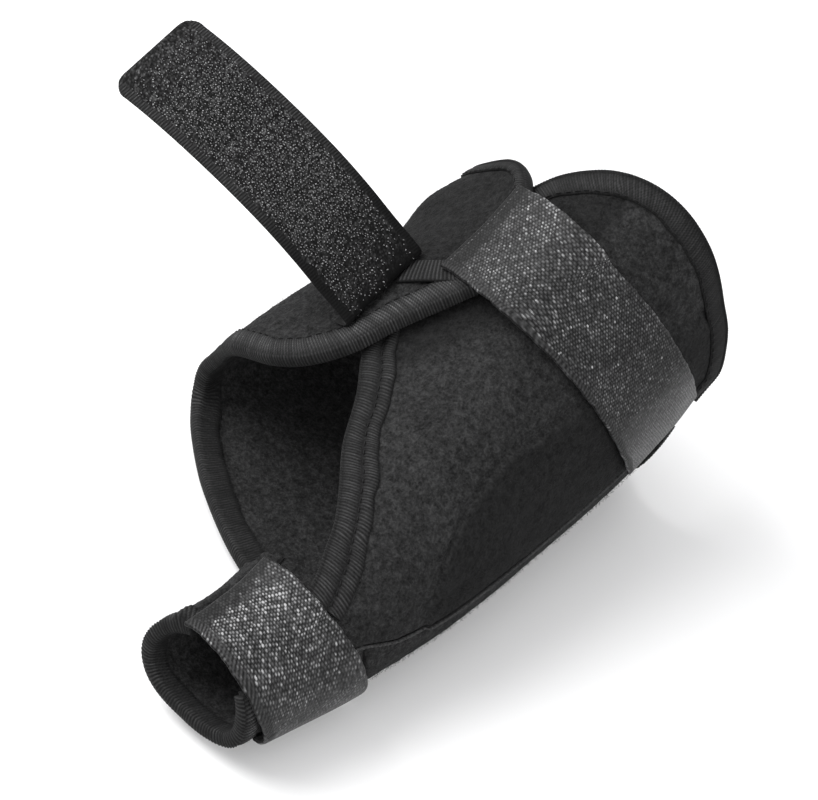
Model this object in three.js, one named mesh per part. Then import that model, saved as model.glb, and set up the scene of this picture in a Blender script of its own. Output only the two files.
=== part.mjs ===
// Right-hand bunion corrector in its worn shape, midfoot strap open, in millimetres.
//
// Frame: the inside of the sole panel lies on z = 0, the cuff towards -Y, the rear lobe towards +Y, the medial
// panel on the +X side, +Z up. The origin is on the inside of the sole panel, in the middle of the hollow.
//
// Every cloth piece lies on one smooth last. A place on the last is a station y (mm along it) and a girth angle
// th (degrees: -90 underneath, 0 on the medial side, 90 on top, 180 on the outer side; it runs on past -180 for
// the panel that passes underneath and up the outer side). A height h is measured outwards from the last along
// its normal.
import * as THREE from "three";

// ---------- driving sizes, mm ----------
const PANEL = 2.6; // fleece-faced laminate of the body
const CUFF = 2.2; // thinner laminate of the cuff
const POCKET_RISE = 1.0; // how far the splint pocket stands out of the medial panel
const TAPE = 0.7; // ribbed edge tape, folded over an edge
const GAP = 0.3; // clearance between pieces
const STRAP = 1.3; // hook tape of the three straps
const STRAP_W = 29.5; // width of the ankle and midfoot straps
const TOE_STRAP_W = 28.5; // width of the toe strap
const ANKLE_CUT = 0.07; // how much shorter the ankle strap is along its front edge, as a share of its length
const SEAM_DEG = 0.6; // half of the gap along the medial seam, as girth angle
const UNDER = 4.9; // height at which the flap clears the medial panel and the tapes of both
const PUFF = { rise: 3, y: 9, th: -216, ry: 9, rt: 13 }; // the flap's soft swelling beside its rear corner
const HEM = { rise: 1.7, th: -238, rt: 5 }; // the rolled hem along the cuff's free end

// ---------- the last: one row for each section ----------
// xm, xl: medial and outer side; xs: outer side as the sole panel takes it, which does not turn in towards
// the cuff; zt, xt: top of the section; zm, zl: height of the medial and outer side;
// zb: underside; tm, bm, bl, tl: fullness of the top-medial, bottom-medial, bottom-outer and top-outer quarter
const FORM = [
  { y: -134, xm: 46.5, xl: 18, xs: -38, zt: 23, xt: 32, zm: 11, zl: 11, zb: 3, tm: 2.1, bm: 2.6, bl: 2.3, tl: 2.1 },
  { y: -108, xm: 47.9, xl: 17, xs: -40, zt: 25, xt: 32, zm: 11, zl: 11, zb: 1.8, tm: 2.1, bm: 2.7, bl: 2.3, tl: 2.1 },
  { y: -92, xm: 49.3, xl: 14, xs: -42, zt: 29, xt: 31, zm: 13, zl: 12, zb: 0.8, tm: 2.1, bm: 2.6, bl: 2.4, tl: 2.1 },
  { y: -78, xm: 49.5, xl: -12, xs: -45, zt: 35, xt: 29, zm: 15, zl: 12, zb: 0, tm: 2.1, bm: 2.6, bl: 2.6, tl: 1.9 },
  { y: -62, xm: 48.8, xl: -42, xs: -48, zt: 42, xt: 27, zm: 16, zl: 12, zb: 0, tm: 2.1, bm: 2.7, bl: 2.6, tl: 2 },
  { y: -45, xm: 47, xl: -50, xs: -50, zt: 50, xt: 23, zm: 17, zl: 13, zb: 0, tm: 2, bm: 2.7, bl: 2.6, tl: 1.95 },
  { y: -25, xm: 44.2, xl: -49.5, xs: -49.5, zt: 58, xt: 17, zm: 19, zl: 14, zb: 0, tm: 2, bm: 2.6, bl: 2.6, tl: 1.87 },
  { y: 0, xm: 40.4, xl: -47, xs: -47, zt: 69, xt: 11, zm: 22, zl: 16, zb: 0, tm: 2, bm: 2.5, bl: 2.6, tl: 1.7 },
  { y: 20, xm: 36.9, xl: -44, xs: -44, zt: 81, xt: 8, zm: 26, zl: 18, zb: 0, tm: 2, bm: 2.4, bl: 2.5, tl: 1.85 },
  { y: 40, xm: 33.2, xl: -40, xs: -40, zt: 100, xt: 6, zm: 32, zl: 21, zb: 0, tm: 2.1, bm: 2.4, bl: 2.4, tl: 1.9 },
  { y: 60, xm: 31.5, xl: -36, xs: -36, zt: 122, xt: 4, zm: 36, zl: 24, zb: 0, tm: 2.2, bm: 2.4, bl: 2.4, tl: 1.9 },
];

// ---------- edges of the cut pieces, on the last ----------
// the seam where the medial panel meets the sole panel, from the cuff to the rear lobe
const SEAM = [
  { y: -112, th: 33 },
  { y: -89, th: 19.5 },
  { y: -76, th: 3.5 },
  { y: -66, th: 0 },
  { y: -54, th: -1 },
  { y: -40, th: -1.5 },
  { y: -28, th: -3 },
  { y: -12, th: -3.8 },
  { y: 3, th: -4 },
  { y: 20, th: -5.5 },
  { y: 39, th: -8 },
];
// medial panel: front edge from the seam at the cuff up over the top, rear edge from the seam up round the lobe
const MEDIAL_FRONT = [
  { y: -112, th: 33 },
  { y: -110, th: 50 },
  { y: -101, th: 64 },
  { y: -90, th: 76 },
  { y: -80, th: 89 },
  { y: -72, th: 96.5 },
  { y: -63, th: 102 },
  { y: -52, th: 106.5 },
  { y: -44, th: 112 },
  { y: -34, th: 119 },
  { y: -26, th: 127 },
];
const MEDIAL_REAR = [
  { y: 39, th: -8 },
  { y: 43.8, th: -3.8 },
  { y: 45.5, th: 0.5 },
  { y: 44.8, th: 6.4 },
  { y: 42.6, th: 15.1 },
  { y: 39.9, th: 24.9 },
  { y: 37.2, th: 35.5 },
  { y: 34.1, th: 47.8 },
  { y: 32, th: 57.2 },
  { y: 29.3, th: 70 },
  { y: 27.1, th: 81.4 },
  { y: 25.2, th: 91.7 },
  { y: 23.1, th: 98.8 },
  { y: 19.1, th: 107.9 },
  { y: 13.6, th: 114.4 },
  { y: 6, th: 121 },
  { y: -2, th: 127 },
];
// sole and flap: front and rear edge from the seam, under the sole, up the outer side and over the top
const FLAP_FRONT = [
  { y: -86, th: 16 },
  { y: -86, th: -30 },
  { y: -86, th: -75 },
  { y: -81, th: -105 },
  { y: -73, th: -130 },
  { y: -64, th: -155 },
  { y: -57.5, th: -180 },
  { y: -57, th: -200 },
  { y: -58.4, th: -217 },
  { y: -57.8, th: -228 },
  { y: -55.6, th: -234.6 },
  { y: -51, th: -240.6 },
  { y: -44, th: -245.4 },
  { y: -34.6, th: -249 },
  { y: -23, th: -254.7 },
  { y: -13, th: -260 },
  { y: -8, th: -265 },
];
const FLAP_REAR = [
  { y: 32, th: -7.1 },
  { y: 27.5, th: -18 },
  { y: 25, th: -32 },
  { y: 26, th: -47 },
  { y: 31, th: -64 },
  { y: 36.5, th: -90 },
  { y: 37, th: -130 },
  { y: 35.5, th: -165 },
  { y: 29.5, th: -195 },
  { y: 21.5, th: -215 },
  { y: 19.2, th: -228 },
  { y: 19.2, th: -235 },
  { y: 18.3, th: -240.5 },
  { y: 16.3, th: -244.6 },
  { y: 12.4, th: -249.3 },
  { y: 8, th: -255.5 },
  { y: 3, th: -265 },
];
// cuff: front and rear edge from the seam, underneath, up the outer side to the free end on top
const CUFF_FRONT = [
  { y: -120, th: 38 },
  { y: -121, th: 0 },
  { y: -122, th: -45 },
  { y: -123.5, th: -90 },
  { y: -124.5, th: -140 },
  { y: -124, th: -180 },
  { y: -122.5, th: -205 },
  { y: -121.2, th: -227 },
  { y: -120, th: -249 },
];
const CUFF_REAR = [
  { y: -87, th: 17 },
  { y: -87, th: -30 },
  { y: -87, th: -75 },
  { y: -89, th: -110 },
  { y: -93, th: -150 },
  { y: -95, th: -190 },
  { y: -93.5, th: -225 },
  { y: -90.5, th: -249 },
];

// ---------- straps: centre line on the last, height of the underside, spread of the rear edge ----------
const TOE_STRAP = [
  { y: -108.2, th: 112, h: 3.7, rear: 0 },
  { y: -107.9, th: 97, h: 4, rear: 0 },
  { y: -107.5, th: 75, h: 4, rear: 0 },
  { y: -106.8, th: 53, h: 4, rear: 0 },
  { y: -105.6, th: 35, h: 4, rear: 0 },
  { y: -104, th: 18, h: 4, rear: 0 },
  { y: -101.5, th: -8, h: 3.9, rear: 0 },
  { y: -100, th: -35, h: 3.7, rear: 0 },
  { y: -99.5, th: -60, h: 3.6, rear: 0 },
];
const ANKLE_STRAP = [
  { y: -3.5, th: 111, h: 8.9, rear: 2.6 },
  { y: -4.1, th: 102, h: 8.9, rear: 2.4 },
  { y: -4.5, th: 92.4, h: 8.9, rear: 1.6 },
  { y: -4.4, th: 79, h: 8, rear: 0.8 },
  { y: -1.8, th: 62, h: 5.3, rear: 0.2 },
  { y: 4.3, th: 40, h: 4.6, rear: 0 },
  { y: 11.4, th: 20, h: 4.9, rear: 0 },
  { y: 17.2, th: 7, h: 4.9, rear: 0 },
  { y: 21.1, th: -2.3, h: 4.5, rear: 0 },
];
// the midfoot strap's free stretch as it is held open in the air, from where it folds up off the flap:
// out and up are measured from the fold line, in the plane square to that line
const FREE = [
  { out: -0.9, up: 1.5 },
  { out: 0.9, up: 3.7 },
  { out: 6.7, up: 8.9 },
  { out: 14, up: 16.1 },
  { out: 21.9, up: 22.7 },
  { out: 30.3, up: 28.4 },
  { out: 39.1, up: 33.5 },
  { out: 48.2, up: 38.1 },
  { out: 57.8, up: 42.1 },
  { out: 69, up: 45.6 },
];
const FOLD_GUESS = { y: -30, th: 119 }; // about where the fold line lies on the last
const CORNER = 5; // radius of the free end's corners
const TAB = [3.8, 2.4, 0.9]; // mm from the fold line, outwards along the flap, where the sewn tab lies
const FOLD = { mid: [-15.7, -31.6, 58.3], along: [-0.178, 0.938, 0.297] }; // middle and direction of the fold line

// ---------- interpolation ----------
// One smooth value through table rows, without overshoot (monotone cubic).
function track(xs, vs) {
  const n = xs.length,
    d = [],
    m = new Array(n).fill(0);
  for (let i = 0; i < n - 1; i++) d.push((vs[i + 1] - vs[i]) / (xs[i + 1] - xs[i]));
  for (let i = 1; i < n - 1; i++) {
    if (d[i - 1] * d[i] > 0) {
      const a = xs[i] - xs[i - 1],
        b = xs[i + 1] - xs[i],
        w1 = 2 * b + a,
        w2 = b + 2 * a;
      m[i] = (w1 + w2) / (w1 / d[i - 1] + w2 / d[i]);
    }
  }
  m[0] = d[0];
  m[n - 1] = d[n - 2];
  return (x) => {
    let i = 0;
    while (i < n - 2 && x > xs[i + 1]) i++;
    const w = xs[i + 1] - xs[i],
      t = (x - xs[i]) / w,
      t2 = t * t,
      t3 = t2 * t;
    return (
      (2 * t3 - 3 * t2 + 1) * vs[i] + (t3 - 2 * t2 + t) * w * m[i] + (3 * t2 - 2 * t3) * vs[i + 1] + (t3 - t2) * w * m[i + 1]
    );
  };
}
const COLUMNS = ["xm", "xl", "xs", "zt", "xt", "zm", "zl", "zb", "tm", "bm", "bl", "tl"];
const formTracks = Object.fromEntries(COLUMNS.map((c) => [c, track(FORM.map((r) => r.y), FORM.map((r) => r[c]))]));

// the last as a surface, with the outer side taken from one of the two columns
function surfaceOf(outer) {
  // the point at a station and girth angle
  function skin(y, th) {
    const f = {};
    for (const c of COLUMNS) f[c] = formTracks[c](y);
    const a = (th * Math.PI) / 180,
      C = Math.cos(a),
      S = Math.sin(a),
      inner = C >= 0,
      top = S >= 0,
      n = inner ? (top ? f.tm : f.bm) : top ? f.tl : f.bl,
      ax = inner ? f.xm - f.xt : f.xt - f[outer],
      cz = inner ? f.zm : f.zl,
      az = top ? f.zt - cz : cz - f.zb;
    return new THREE.Vector3(
      f.xt + ax * Math.sign(C) * Math.abs(C) ** (2 / n),
      y,
      cz + az * Math.sign(S) * Math.abs(S) ** (2 / n),
    );
  }
  // the two ways along the last, per mm of station and per degree of girth, and the way out of it
  function ways(y, th) {
    const along = skin(y + 0.5, th).sub(skin(y - 0.5, th)),
      round = skin(y, th + 1).sub(skin(y, th - 1)).multiplyScalar(0.5);
    return { along, round, out: new THREE.Vector3().crossVectors(along, round).normalize() };
  }
  const lift = (y, th, h) => skin(y, th).addScaledVector(ways(y, th).out, h);
  return { skin, ways, lift };
}
const last = surfaceOf("xl");
const base = surfaceOf("xs");
// the place reached from (y, th) by going a short way in direction dir along the last
function stepOn(y, th, dir, dist) {
  const parts = Math.max(1, Math.ceil(Math.abs(dist) / 2.5)),
    d = dist / parts,
    go = dir.clone();
  for (let i = 0; i < parts; i++) {
    const { along, round, out } = last.ways(y, th);
    go.addScaledVector(out, -go.dot(out)).normalize();
    const aa = along.dot(along),
      rr = round.dot(round),
      ar = along.dot(round),
      ga = go.dot(along),
      gr = go.dot(round),
      det = aa * rr - ar * ar;
    y += (d * (ga * rr - gr * ar)) / det;
    th += (d * (gr * aa - ga * ar)) / det;
  }
  return { y, th };
}
// a smooth curve through table rows, read by its share of length
function curve(rows, keys) {
  const s = [0];
  for (let i = 1; i < rows.length; i++) {
    const a = last.skin(rows[i - 1].y, rows[i - 1].th),
      b = last.skin(rows[i].y, rows[i].th);
    s.push(s[i - 1] + a.distanceTo(b));
  }
  const total = s[s.length - 1],
    x = s.map((v) => v / total),
    t = Object.fromEntries(keys.map((k) => [k, track(x, rows.map((r) => r[k]))]));
  return (u) => Object.fromEntries(keys.map((k) => [k, t[k](u)]));
}

// ---------- solids from grids ----------
function geometryOf(points, faces) {
  const g = new THREE.BufferGeometry();
  g.setAttribute("position", new THREE.Float32BufferAttribute(points.flatMap((p) => [p.x, p.y, p.z]), 3));
  g.setIndex(faces.flat());
  if (volumeOf(points, faces) < 0) g.setIndex(faces.map(([a, b, c]) => [a, c, b]).flat());
  g.computeVertexNormals();
  return g;
}
function volumeOf(points, faces) {
  let v = 0;
  for (const [a, b, c] of faces) v += points[a].dot(new THREE.Vector3().crossVectors(points[b], points[c]));
  return v / 6;
}
// even spacing of n steps from 0 to 1
const even = (n) => Array.from({ length: n + 1 }, (_, i) => i / n);
// n steps from 0 to 1, closer together where the surface along at(t) turns
function turning(n, at, form) {
  const fine = 400,
    w = [0];
  let p = at(0);
  for (let i = 1; i <= fine; i++) {
    const q = at(i / fine),
      a = form.skin(p.y, p.th),
      b = form.skin(q.y, q.th),
      turn = form.ways(p.y, p.th).out.angleTo(form.ways(q.y, q.th).out);
    w.push(w[i - 1] + Math.sqrt((a.distanceTo(b) / 9) ** 2 + (turn / 0.22) ** 2));
    p = q;
  }
  const out = [0];
  for (let k = 1, i = 0; k < n; k++) {
    const want = (w[fine] * k) / n;
    while (w[i + 1] < want) i++;
    out.push((i + (want - w[i]) / (w[i + 1] - w[i])) / fine);
  }
  return [...out, 1];
}
// A sheet with thickness: under(s, t) and over(s, t) are its two faces; ss and tt list the grid lines from 0 to 1.
function sheet(ss, tt, under, over) {
  const ns = ss.length - 1,
    nt = tt.length - 1,
    P = [],
    F = [],
    id = (k, i, j) => k * (ns + 1) * (nt + 1) + i * (nt + 1) + j;
  for (const face of [under, over]) for (const s of ss) for (const t of tt) P.push(face(s, t));
  for (let i = 0; i < ns; i++)
    for (let j = 0; j < nt; j++) {
      F.push([id(0, i, j), id(0, i, j + 1), id(0, i + 1, j + 1)], [id(0, i, j), id(0, i + 1, j + 1), id(0, i + 1, j)]);
      F.push([id(1, i, j), id(1, i + 1, j + 1), id(1, i, j + 1)], [id(1, i, j), id(1, i + 1, j), id(1, i + 1, j + 1)]);
    }
  const wall = (a, b, c, d) => F.push([a, b, c], [a, c, d]);
  for (let i = 0; i < ns; i++) {
    wall(id(0, i, 0), id(0, i + 1, 0), id(1, i + 1, 0), id(1, i, 0));
    wall(id(0, i + 1, nt), id(0, i, nt), id(1, i, nt), id(1, i + 1, nt));
  }
  for (let j = 0; j < nt; j++) {
    wall(id(0, 0, j + 1), id(0, 0, j), id(1, 0, j), id(1, 0, j + 1));
    wall(id(0, ns, j), id(0, ns, j + 1), id(1, ns, j + 1), id(1, ns, j));
  }
  return geometryOf(P, F);
}
// the four-cornered fields that close the end of a U section of twelve points
const U_CAP = [
  [0, 1, 4, 5],
  [1, 2, 3, 4],
  [0, 5, 6, 11],
  [6, 7, 10, 11],
  [7, 8, 9, 10],
];
// the sides of that section that run against the panel's own way
const AGAINST = [3, 4, 9, 10];
// A closed U section carried along a path: rings is a list of rings of twelve points.
// The facets are cut the same way round as the panel's own, so that the two never cross.
function swept(rings, side) {
  const n = rings[0].length,
    P = rings.flat(),
    F = [];
  for (let i = 0; i < rings.length - 1; i++)
    for (let j = 0; j < n; j++) {
      const a = i * n + j,
        b = i * n + ((j + 1) % n);
      if (AGAINST.includes(j) === (side === 1)) F.push([a, b, b + n], [a, b + n, a + n]);
      else F.push([a, b, a + n], [b, b + n, a + n]);
    }
  const end = (rings.length - 1) * n;
  for (const [a, b, c, d] of U_CAP) {
    F.push([a, d, c], [a, c, b]);
    F.push([end + a, end + b, end + c], [end + a, end + c, end + d]);
  }
  return geometryOf(P, F);
}

// ---------- panels ----------
const smooth = (a, b, x) => {
  const t = Math.min(1, Math.max(0, (x - a) / (b - a)));
  return t * t * (3 - 2 * t);
};
// A four-edged patch on the last: front and rear run from the seam to the free end.
function patch(front, rear, near, far) {
  const c = { f0: front(0), f1: front(1), r0: rear(0), r1: rear(1) };
  return (s, t) => {
    const F = front(t),
      R = rear(t),
      N = near(s),
      E = far(s),
      mix = (k) =>
        (1 - s) * F[k] +
        s * R[k] +
        (1 - t) * N[k] +
        t * E[k] -
        ((1 - s) * (1 - t) * c.f0[k] + (1 - s) * t * c.f1[k] + s * (1 - t) * c.r0[k] + s * t * c.r1[k]);
    return { y: mix("y"), th: mix("th") };
  };
}
const straight = (a, b) => (s) => ({ y: a.y + (b.y - a.y) * s, th: a.th + (b.th - a.th) * s });
const shifted = (rows, d) => rows.map((r) => ({ y: r.y, th: r.th + d }));
const YT = ["y", "th"];

// splint pocket: its upper and front edge on the medial panel, which stands out below it
const POCKET_TOP = [
  { y: -80, th: -40 },
  { y: -69, th: -10 },
  { y: -67, th: 8 },
  { y: -66, th: 16 },
  { y: -64, th: 24 },
  { y: -61.5, th: 32 },
  { y: -58, th: 38.5 },
  { y: -52.8, th: 45 },
  { y: -45, th: 48.8 },
  { y: -36, th: 50 },
  { y: -29, th: 46.5 },
  { y: -22, th: 43.5 },
  { y: -12, th: 41.5 },
  { y: 4, th: 38 },
  { y: 20, th: 32 },
  { y: 32, th: 24.5 },
  { y: 40, th: 19 },
];
const pocketTop = track(POCKET_TOP.map((r) => r.y), POCKET_TOP.map((r) => r.th));
// the medial panel's outer face: the pocket stands out between its edge and the seam
function medialOuter(y, th) {
  return PANEL + POCKET_RISE * smooth(pocketTop(y) + 3, pocketTop(y) - 5, th) * smooth(-6, 2, th);
}
// the flap lies on the last at the outer side and climbs over the medial panel on top
function flapUnder(y, th) {
  return UNDER * smooth(-198, -220, th) + PUFF.rise * Math.exp(-(((y - PUFF.y) / PUFF.ry) ** 2) - ((th - PUFF.th) / PUFF.rt) ** 2);
}
function cuffOuter(y, th) {
  return CUFF + HEM.rise * Math.exp(-(((th - HEM.th) / HEM.rt) ** 2));
}

const medialSeam = curve(shifted(SEAM, SEAM_DEG), YT);
const medialFront = curve(shifted(MEDIAL_FRONT, SEAM_DEG), YT);
const medialRear = curve(shifted(MEDIAL_REAR, SEAM_DEG), YT);
const medialPatch = patch(medialFront, medialRear, medialSeam, straight(medialFront(1), medialRear(1)));

const soleSeamRows = [...SEAM.filter((r) => r.y > -86 && r.y < FLAP_REAR[0].y), FLAP_REAR[0]];
const soleSeam = curve(shifted([{ y: -86, th: 16 }, ...soleSeamRows], -SEAM_DEG), YT);
const flapFront = curve(shifted(FLAP_FRONT, -SEAM_DEG), YT);
const flapRear = curve(shifted(FLAP_REAR, -SEAM_DEG), YT);
const flapPatch = patch(flapFront, flapRear, soleSeam, straight(flapFront(1), flapRear(1)));

const cuffFront = curve(shifted(CUFF_FRONT, -SEAM_DEG), YT);
const cuffRear = curve(shifted(CUFF_REAR, -SEAM_DEG), YT);
const cuffSeam = curve(
  shifted([{ y: -120, th: 38 }, { y: -112, th: 33 }, { y: -100, th: 27 }, { y: -87, th: 17 }], -SEAM_DEG),
  YT,
);
const cuffPatch = patch(cuffFront, cuffRear, cuffSeam, straight(cuffFront(1), cuffRear(1)));

function panel(form, at, ss, tt, under, over) {
  const side = (h) => (s, t) => {
    const q = at(s, t);
    return form.lift(q.y, q.th, h(q.y, q.th));
  };
  return sheet(ss, tt, side(under), side(over));
}

// ---------- edge tape ----------
// A ribbed tape folded over an edge of a panel: its section is a U, open towards the panel.
// side is 0 for the panel's front edge and 1 for its rear one. The tape follows the panel's own grid lines,
// from line number from to line number to.
function tape(form, at, side, lines, from, to, width, under, over) {
  const e = GAP,
    t = TAPE,
    section = [
      [-e - t, 1, e + t],
      [width / 2, 1, e + t],
      [width, 1, e + t],
      [width, 1, e],
      [width / 2, 1, e],
      [-e, 1, e],
      [-e, 0, -e],
      [width / 2, 0, -e],
      [width, 0, -e],
      [width, 0, -e - t],
      [width / 2, 0, -e - t],
      [-e - t, 0, -e - t],
    ];
  const rings = [];
  for (let k = from; k <= to; k++) {
    const u = lines[k],
      into = (s) => at(side ? 1 - s : s, u),
      spot = (q) => form.skin(q.y, q.th),
      inward = spot(into(0.01)).sub(spot(into(0))),
      run = spot(at(side, Math.min(1, u + 0.004))).sub(spot(at(side, Math.max(0, u - 0.004)))).normalize(),
      square = Math.max(new THREE.Vector3().crossVectors(inward, run).length(), 0.7 * inward.length()) / 0.01; // mm square to the edge for each whole s
    rings.push(
      section.map(([i, top, d]) => {
        const w = into(i / square);
        return form.lift(w.y, w.th, (top ? over(w.y, w.th) : under(w.y, w.th)) + d);
      }),
    );
  }
  return swept(rings, side);
}

// ---------- straps that lie on the last ----------
function strapOn(rows, width, ns, nw, cut) {
  const line = curve(rows, ["y", "th", "h", "rear"]);
  const place = (s, t) => {
    const u = s * (1 - cut * (1 - t)),
      q = line(u),
      a = line(Math.max(0, u - 0.01)),
      b = line(Math.min(1, u + 0.01)),
      run = last.skin(b.y, b.th).sub(last.skin(a.y, a.th)).normalize(),
      { out } = last.ways(q.y, q.th),
      across = new THREE.Vector3().crossVectors(out, run),
      w = stepOn(q.y, q.th, across, (t - 0.5) * width + q.rear * t);
    return { y: w.y, th: w.th, h: q.h };
  };
  const face = (d) => (s, t) => {
    const p = place(s, t);
    return last.lift(p.y, p.th, p.h + d);
  };
  return sheet(even(ns), even(nw), face(0), face(STRAP));
}

// ---------- the midfoot strap: a sewn tab, a fold, and the free stretch ----------
// the place on the last whose point at height h is nearest to a target
function below(target, q, h) {
  for (let i = 0; i < 12; i++) {
    const d = target.clone().sub(last.lift(q.y, q.th, h)),
      { out } = last.ways(q.y, q.th);
    d.addScaledVector(out, -d.dot(out));
    if (d.length() < 1e-4) break;
    q = stepOn(q.y, q.th, d, d.length());
  }
  return q;
}
function openStrap() {
  const g = new THREE.Vector3(...FOLD.along).normalize(),
    mid = new THREE.Vector3(...FOLD.mid),
    outWay = new THREE.Vector3(-1, 0, 0).addScaledVector(g, g.x).normalize(),
    upWay = new THREE.Vector3().crossVectors(g, outWay).normalize();
  if (upWay.z < 0) upWay.negate();
  const tabHeight = UNDER + PANEL + GAP + STRAP / 2;
  // one curve for each place across the strap, from the sewn end to the tip; t runs from 0 to 1 across
  const curveAt = (t) => {
    const line = mid.clone().addScaledVector(g, (t - 0.5) * STRAP_W),
      q = below(line, FOLD_GUESS, tabHeight),
      tab = TAB.map((d) => {
        const w = stepOn(q.y, q.th, outWay, d);
        return last.lift(w.y, w.th, tabHeight);
      }),
      base = last.lift(q.y, q.th, tabHeight),
      free = FREE.map((r) => {
        const near = Math.exp(-Math.max(0, r.out) / 6);
        return line
          .clone()
          .lerp(base, near)
          .addScaledVector(outWay, r.out)
          .addScaledVector(upWay, r.up);
      });
    return new THREE.CatmullRomCurve3([...tab, base.clone().addScaledVector(upWay, 0.25), ...free], false, "centripetal");
  };
  return { curveAt };
}
function openStrapGeometry(spots, nw) {
  const { curveAt } = openStrap(),
    made = new Map(),
    at = (s, t) => {
      if (!made.has(t)) made.set(t, curveAt(t));
      return made.get(t).getPointAt(Math.min(1, Math.max(0, s)));
    },
    L = curveAt(0.5).getLength(),
    // rounded corners at the free end
    squeeze = (s, t) => {
      const left = (1 - s) * L,
        cut = left < CORNER ? CORNER - Math.sqrt(Math.max(0, CORNER * CORNER - (CORNER - left) ** 2)) : 0;
      return 0.5 + (t - 0.5) * (1 - (2 * cut) / STRAP_W);
    };
  const face = (d) => (s, t) => {
    const u = squeeze(s, t),
      across = at(s, Math.min(1, u + 0.05)).sub(at(s, Math.max(0, u - 0.05))),
      tangent = at(s + 0.003, u).sub(at(s - 0.003, u)),
      n = new THREE.Vector3().crossVectors(tangent, across).normalize();
    return at(s, u).addScaledVector(n, d);
  };
  return sheet(spots, even(nw), face(-STRAP / 2), face(STRAP / 2));
}

// ---------- materials: one for each mesh ----------
const fleece = () => new THREE.MeshStandardMaterial({ color: 0x1b1b1c, roughness: 0.95, metalness: 0 });
const tapeCloth = () => new THREE.MeshStandardMaterial({ color: 0x18181a, roughness: 0.8, metalness: 0 });
const hookTape = () => new THREE.MeshStandardMaterial({ color: 0x222224, roughness: 0.6, metalness: 0 });

const part = new THREE.Group();
function add(name, geometry, material) {
  const m = new THREE.Mesh(geometry, material);
  m.name = name;
  part.add(m);
  return m;
}

const medialLines = turning(18, (t) => medialPatch(0.5, t), last),
  flapLines = turning(40, (t) => flapPatch(0.1, t), base),
  flapRows = [0, 0.028, 0.056, 0.09, 0.14, 0.2, 0.28, 0.37, 0.47, 0.57, 0.68, 0.79, 0.9, 0.95, 1],
  cuffLines = turning(30, (t) => cuffPatch(0.5, t), last),
  onLast = () => 0,
  flapOver = (y, th) => flapUnder(y, th) + PANEL;

add("medial_panel", panel(last, medialPatch, even(20), medialLines, onLast, medialOuter), fleece());
add("sole_flap", panel(base, flapPatch, flapRows, flapLines, flapUnder, flapOver), fleece());
add("toe_cuff", panel(last, cuffPatch, even(5), cuffLines, onLast, cuffOuter), fleece());

add("medial_front_tape", tape(last, medialPatch, 0, medialLines, 4, 18, 8.5, onLast, medialOuter), tapeCloth());
add("medial_rear_tape", tape(last, medialPatch, 1, medialLines, 0, 18, 6, onLast, medialOuter), tapeCloth());
add("flap_front_tape", tape(base, flapPatch, 0, flapLines, 10, 40, 6.1, flapUnder, flapOver), tapeCloth());
add("flap_rear_tape", tape(base, flapPatch, 1, flapLines, 1, 39, 3.2, flapUnder, flapOver), tapeCloth());
add("cuff_front_tape", tape(last, cuffPatch, 0, cuffLines, 1, 30, 4.5, onLast, cuffOuter), tapeCloth());

add("toe_strap", strapOn(TOE_STRAP, TOE_STRAP_W, 22, 6, 0), hookTape());
add("ankle_strap", strapOn(ANKLE_STRAP, STRAP_W, 26, 6, ANKLE_CUT), hookTape());
const strapSpots = [0, 0.04, 0.075, 0.092, 0.105, 0.118, 0.13, 0.145, 0.165, ...even(18).slice(1).map((u) => 0.165 + 0.78 * u), 0.965, 0.98, 0.99, 1];
add("midfoot_strap", openStrapGeometry(strapSpots, 4), hookTape());

export default part;
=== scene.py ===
import math

import bpy
import numpy as np
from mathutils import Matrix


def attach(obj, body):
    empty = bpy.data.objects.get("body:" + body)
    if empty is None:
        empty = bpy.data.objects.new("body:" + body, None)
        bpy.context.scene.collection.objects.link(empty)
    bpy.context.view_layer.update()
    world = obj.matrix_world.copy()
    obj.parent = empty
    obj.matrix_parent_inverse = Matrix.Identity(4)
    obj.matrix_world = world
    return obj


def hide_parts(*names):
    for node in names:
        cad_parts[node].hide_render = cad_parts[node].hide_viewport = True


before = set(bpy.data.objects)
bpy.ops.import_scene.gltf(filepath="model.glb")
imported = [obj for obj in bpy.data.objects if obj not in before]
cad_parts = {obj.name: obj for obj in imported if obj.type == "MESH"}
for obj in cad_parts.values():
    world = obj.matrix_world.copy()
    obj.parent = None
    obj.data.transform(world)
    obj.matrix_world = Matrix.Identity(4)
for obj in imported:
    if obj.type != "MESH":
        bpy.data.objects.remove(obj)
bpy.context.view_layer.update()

MM = 0.001
rng = np.random.default_rng(7)

# ---------- sizes, mm (the part's own) ----------
PANEL, CUFF, POCKET_RISE, TAPE, GAP = 2.6, 2.2, 1.0, 0.7, 0.3
STRAP, STRAP_W, TOE_STRAP_W, SEAM_DEG, UNDER = 1.3, 29.5, 28.5, 0.6, 4.9
PUFF = (3, 9, -216, 9, 13)
HEM = (1.7, -238, 5)

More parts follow.
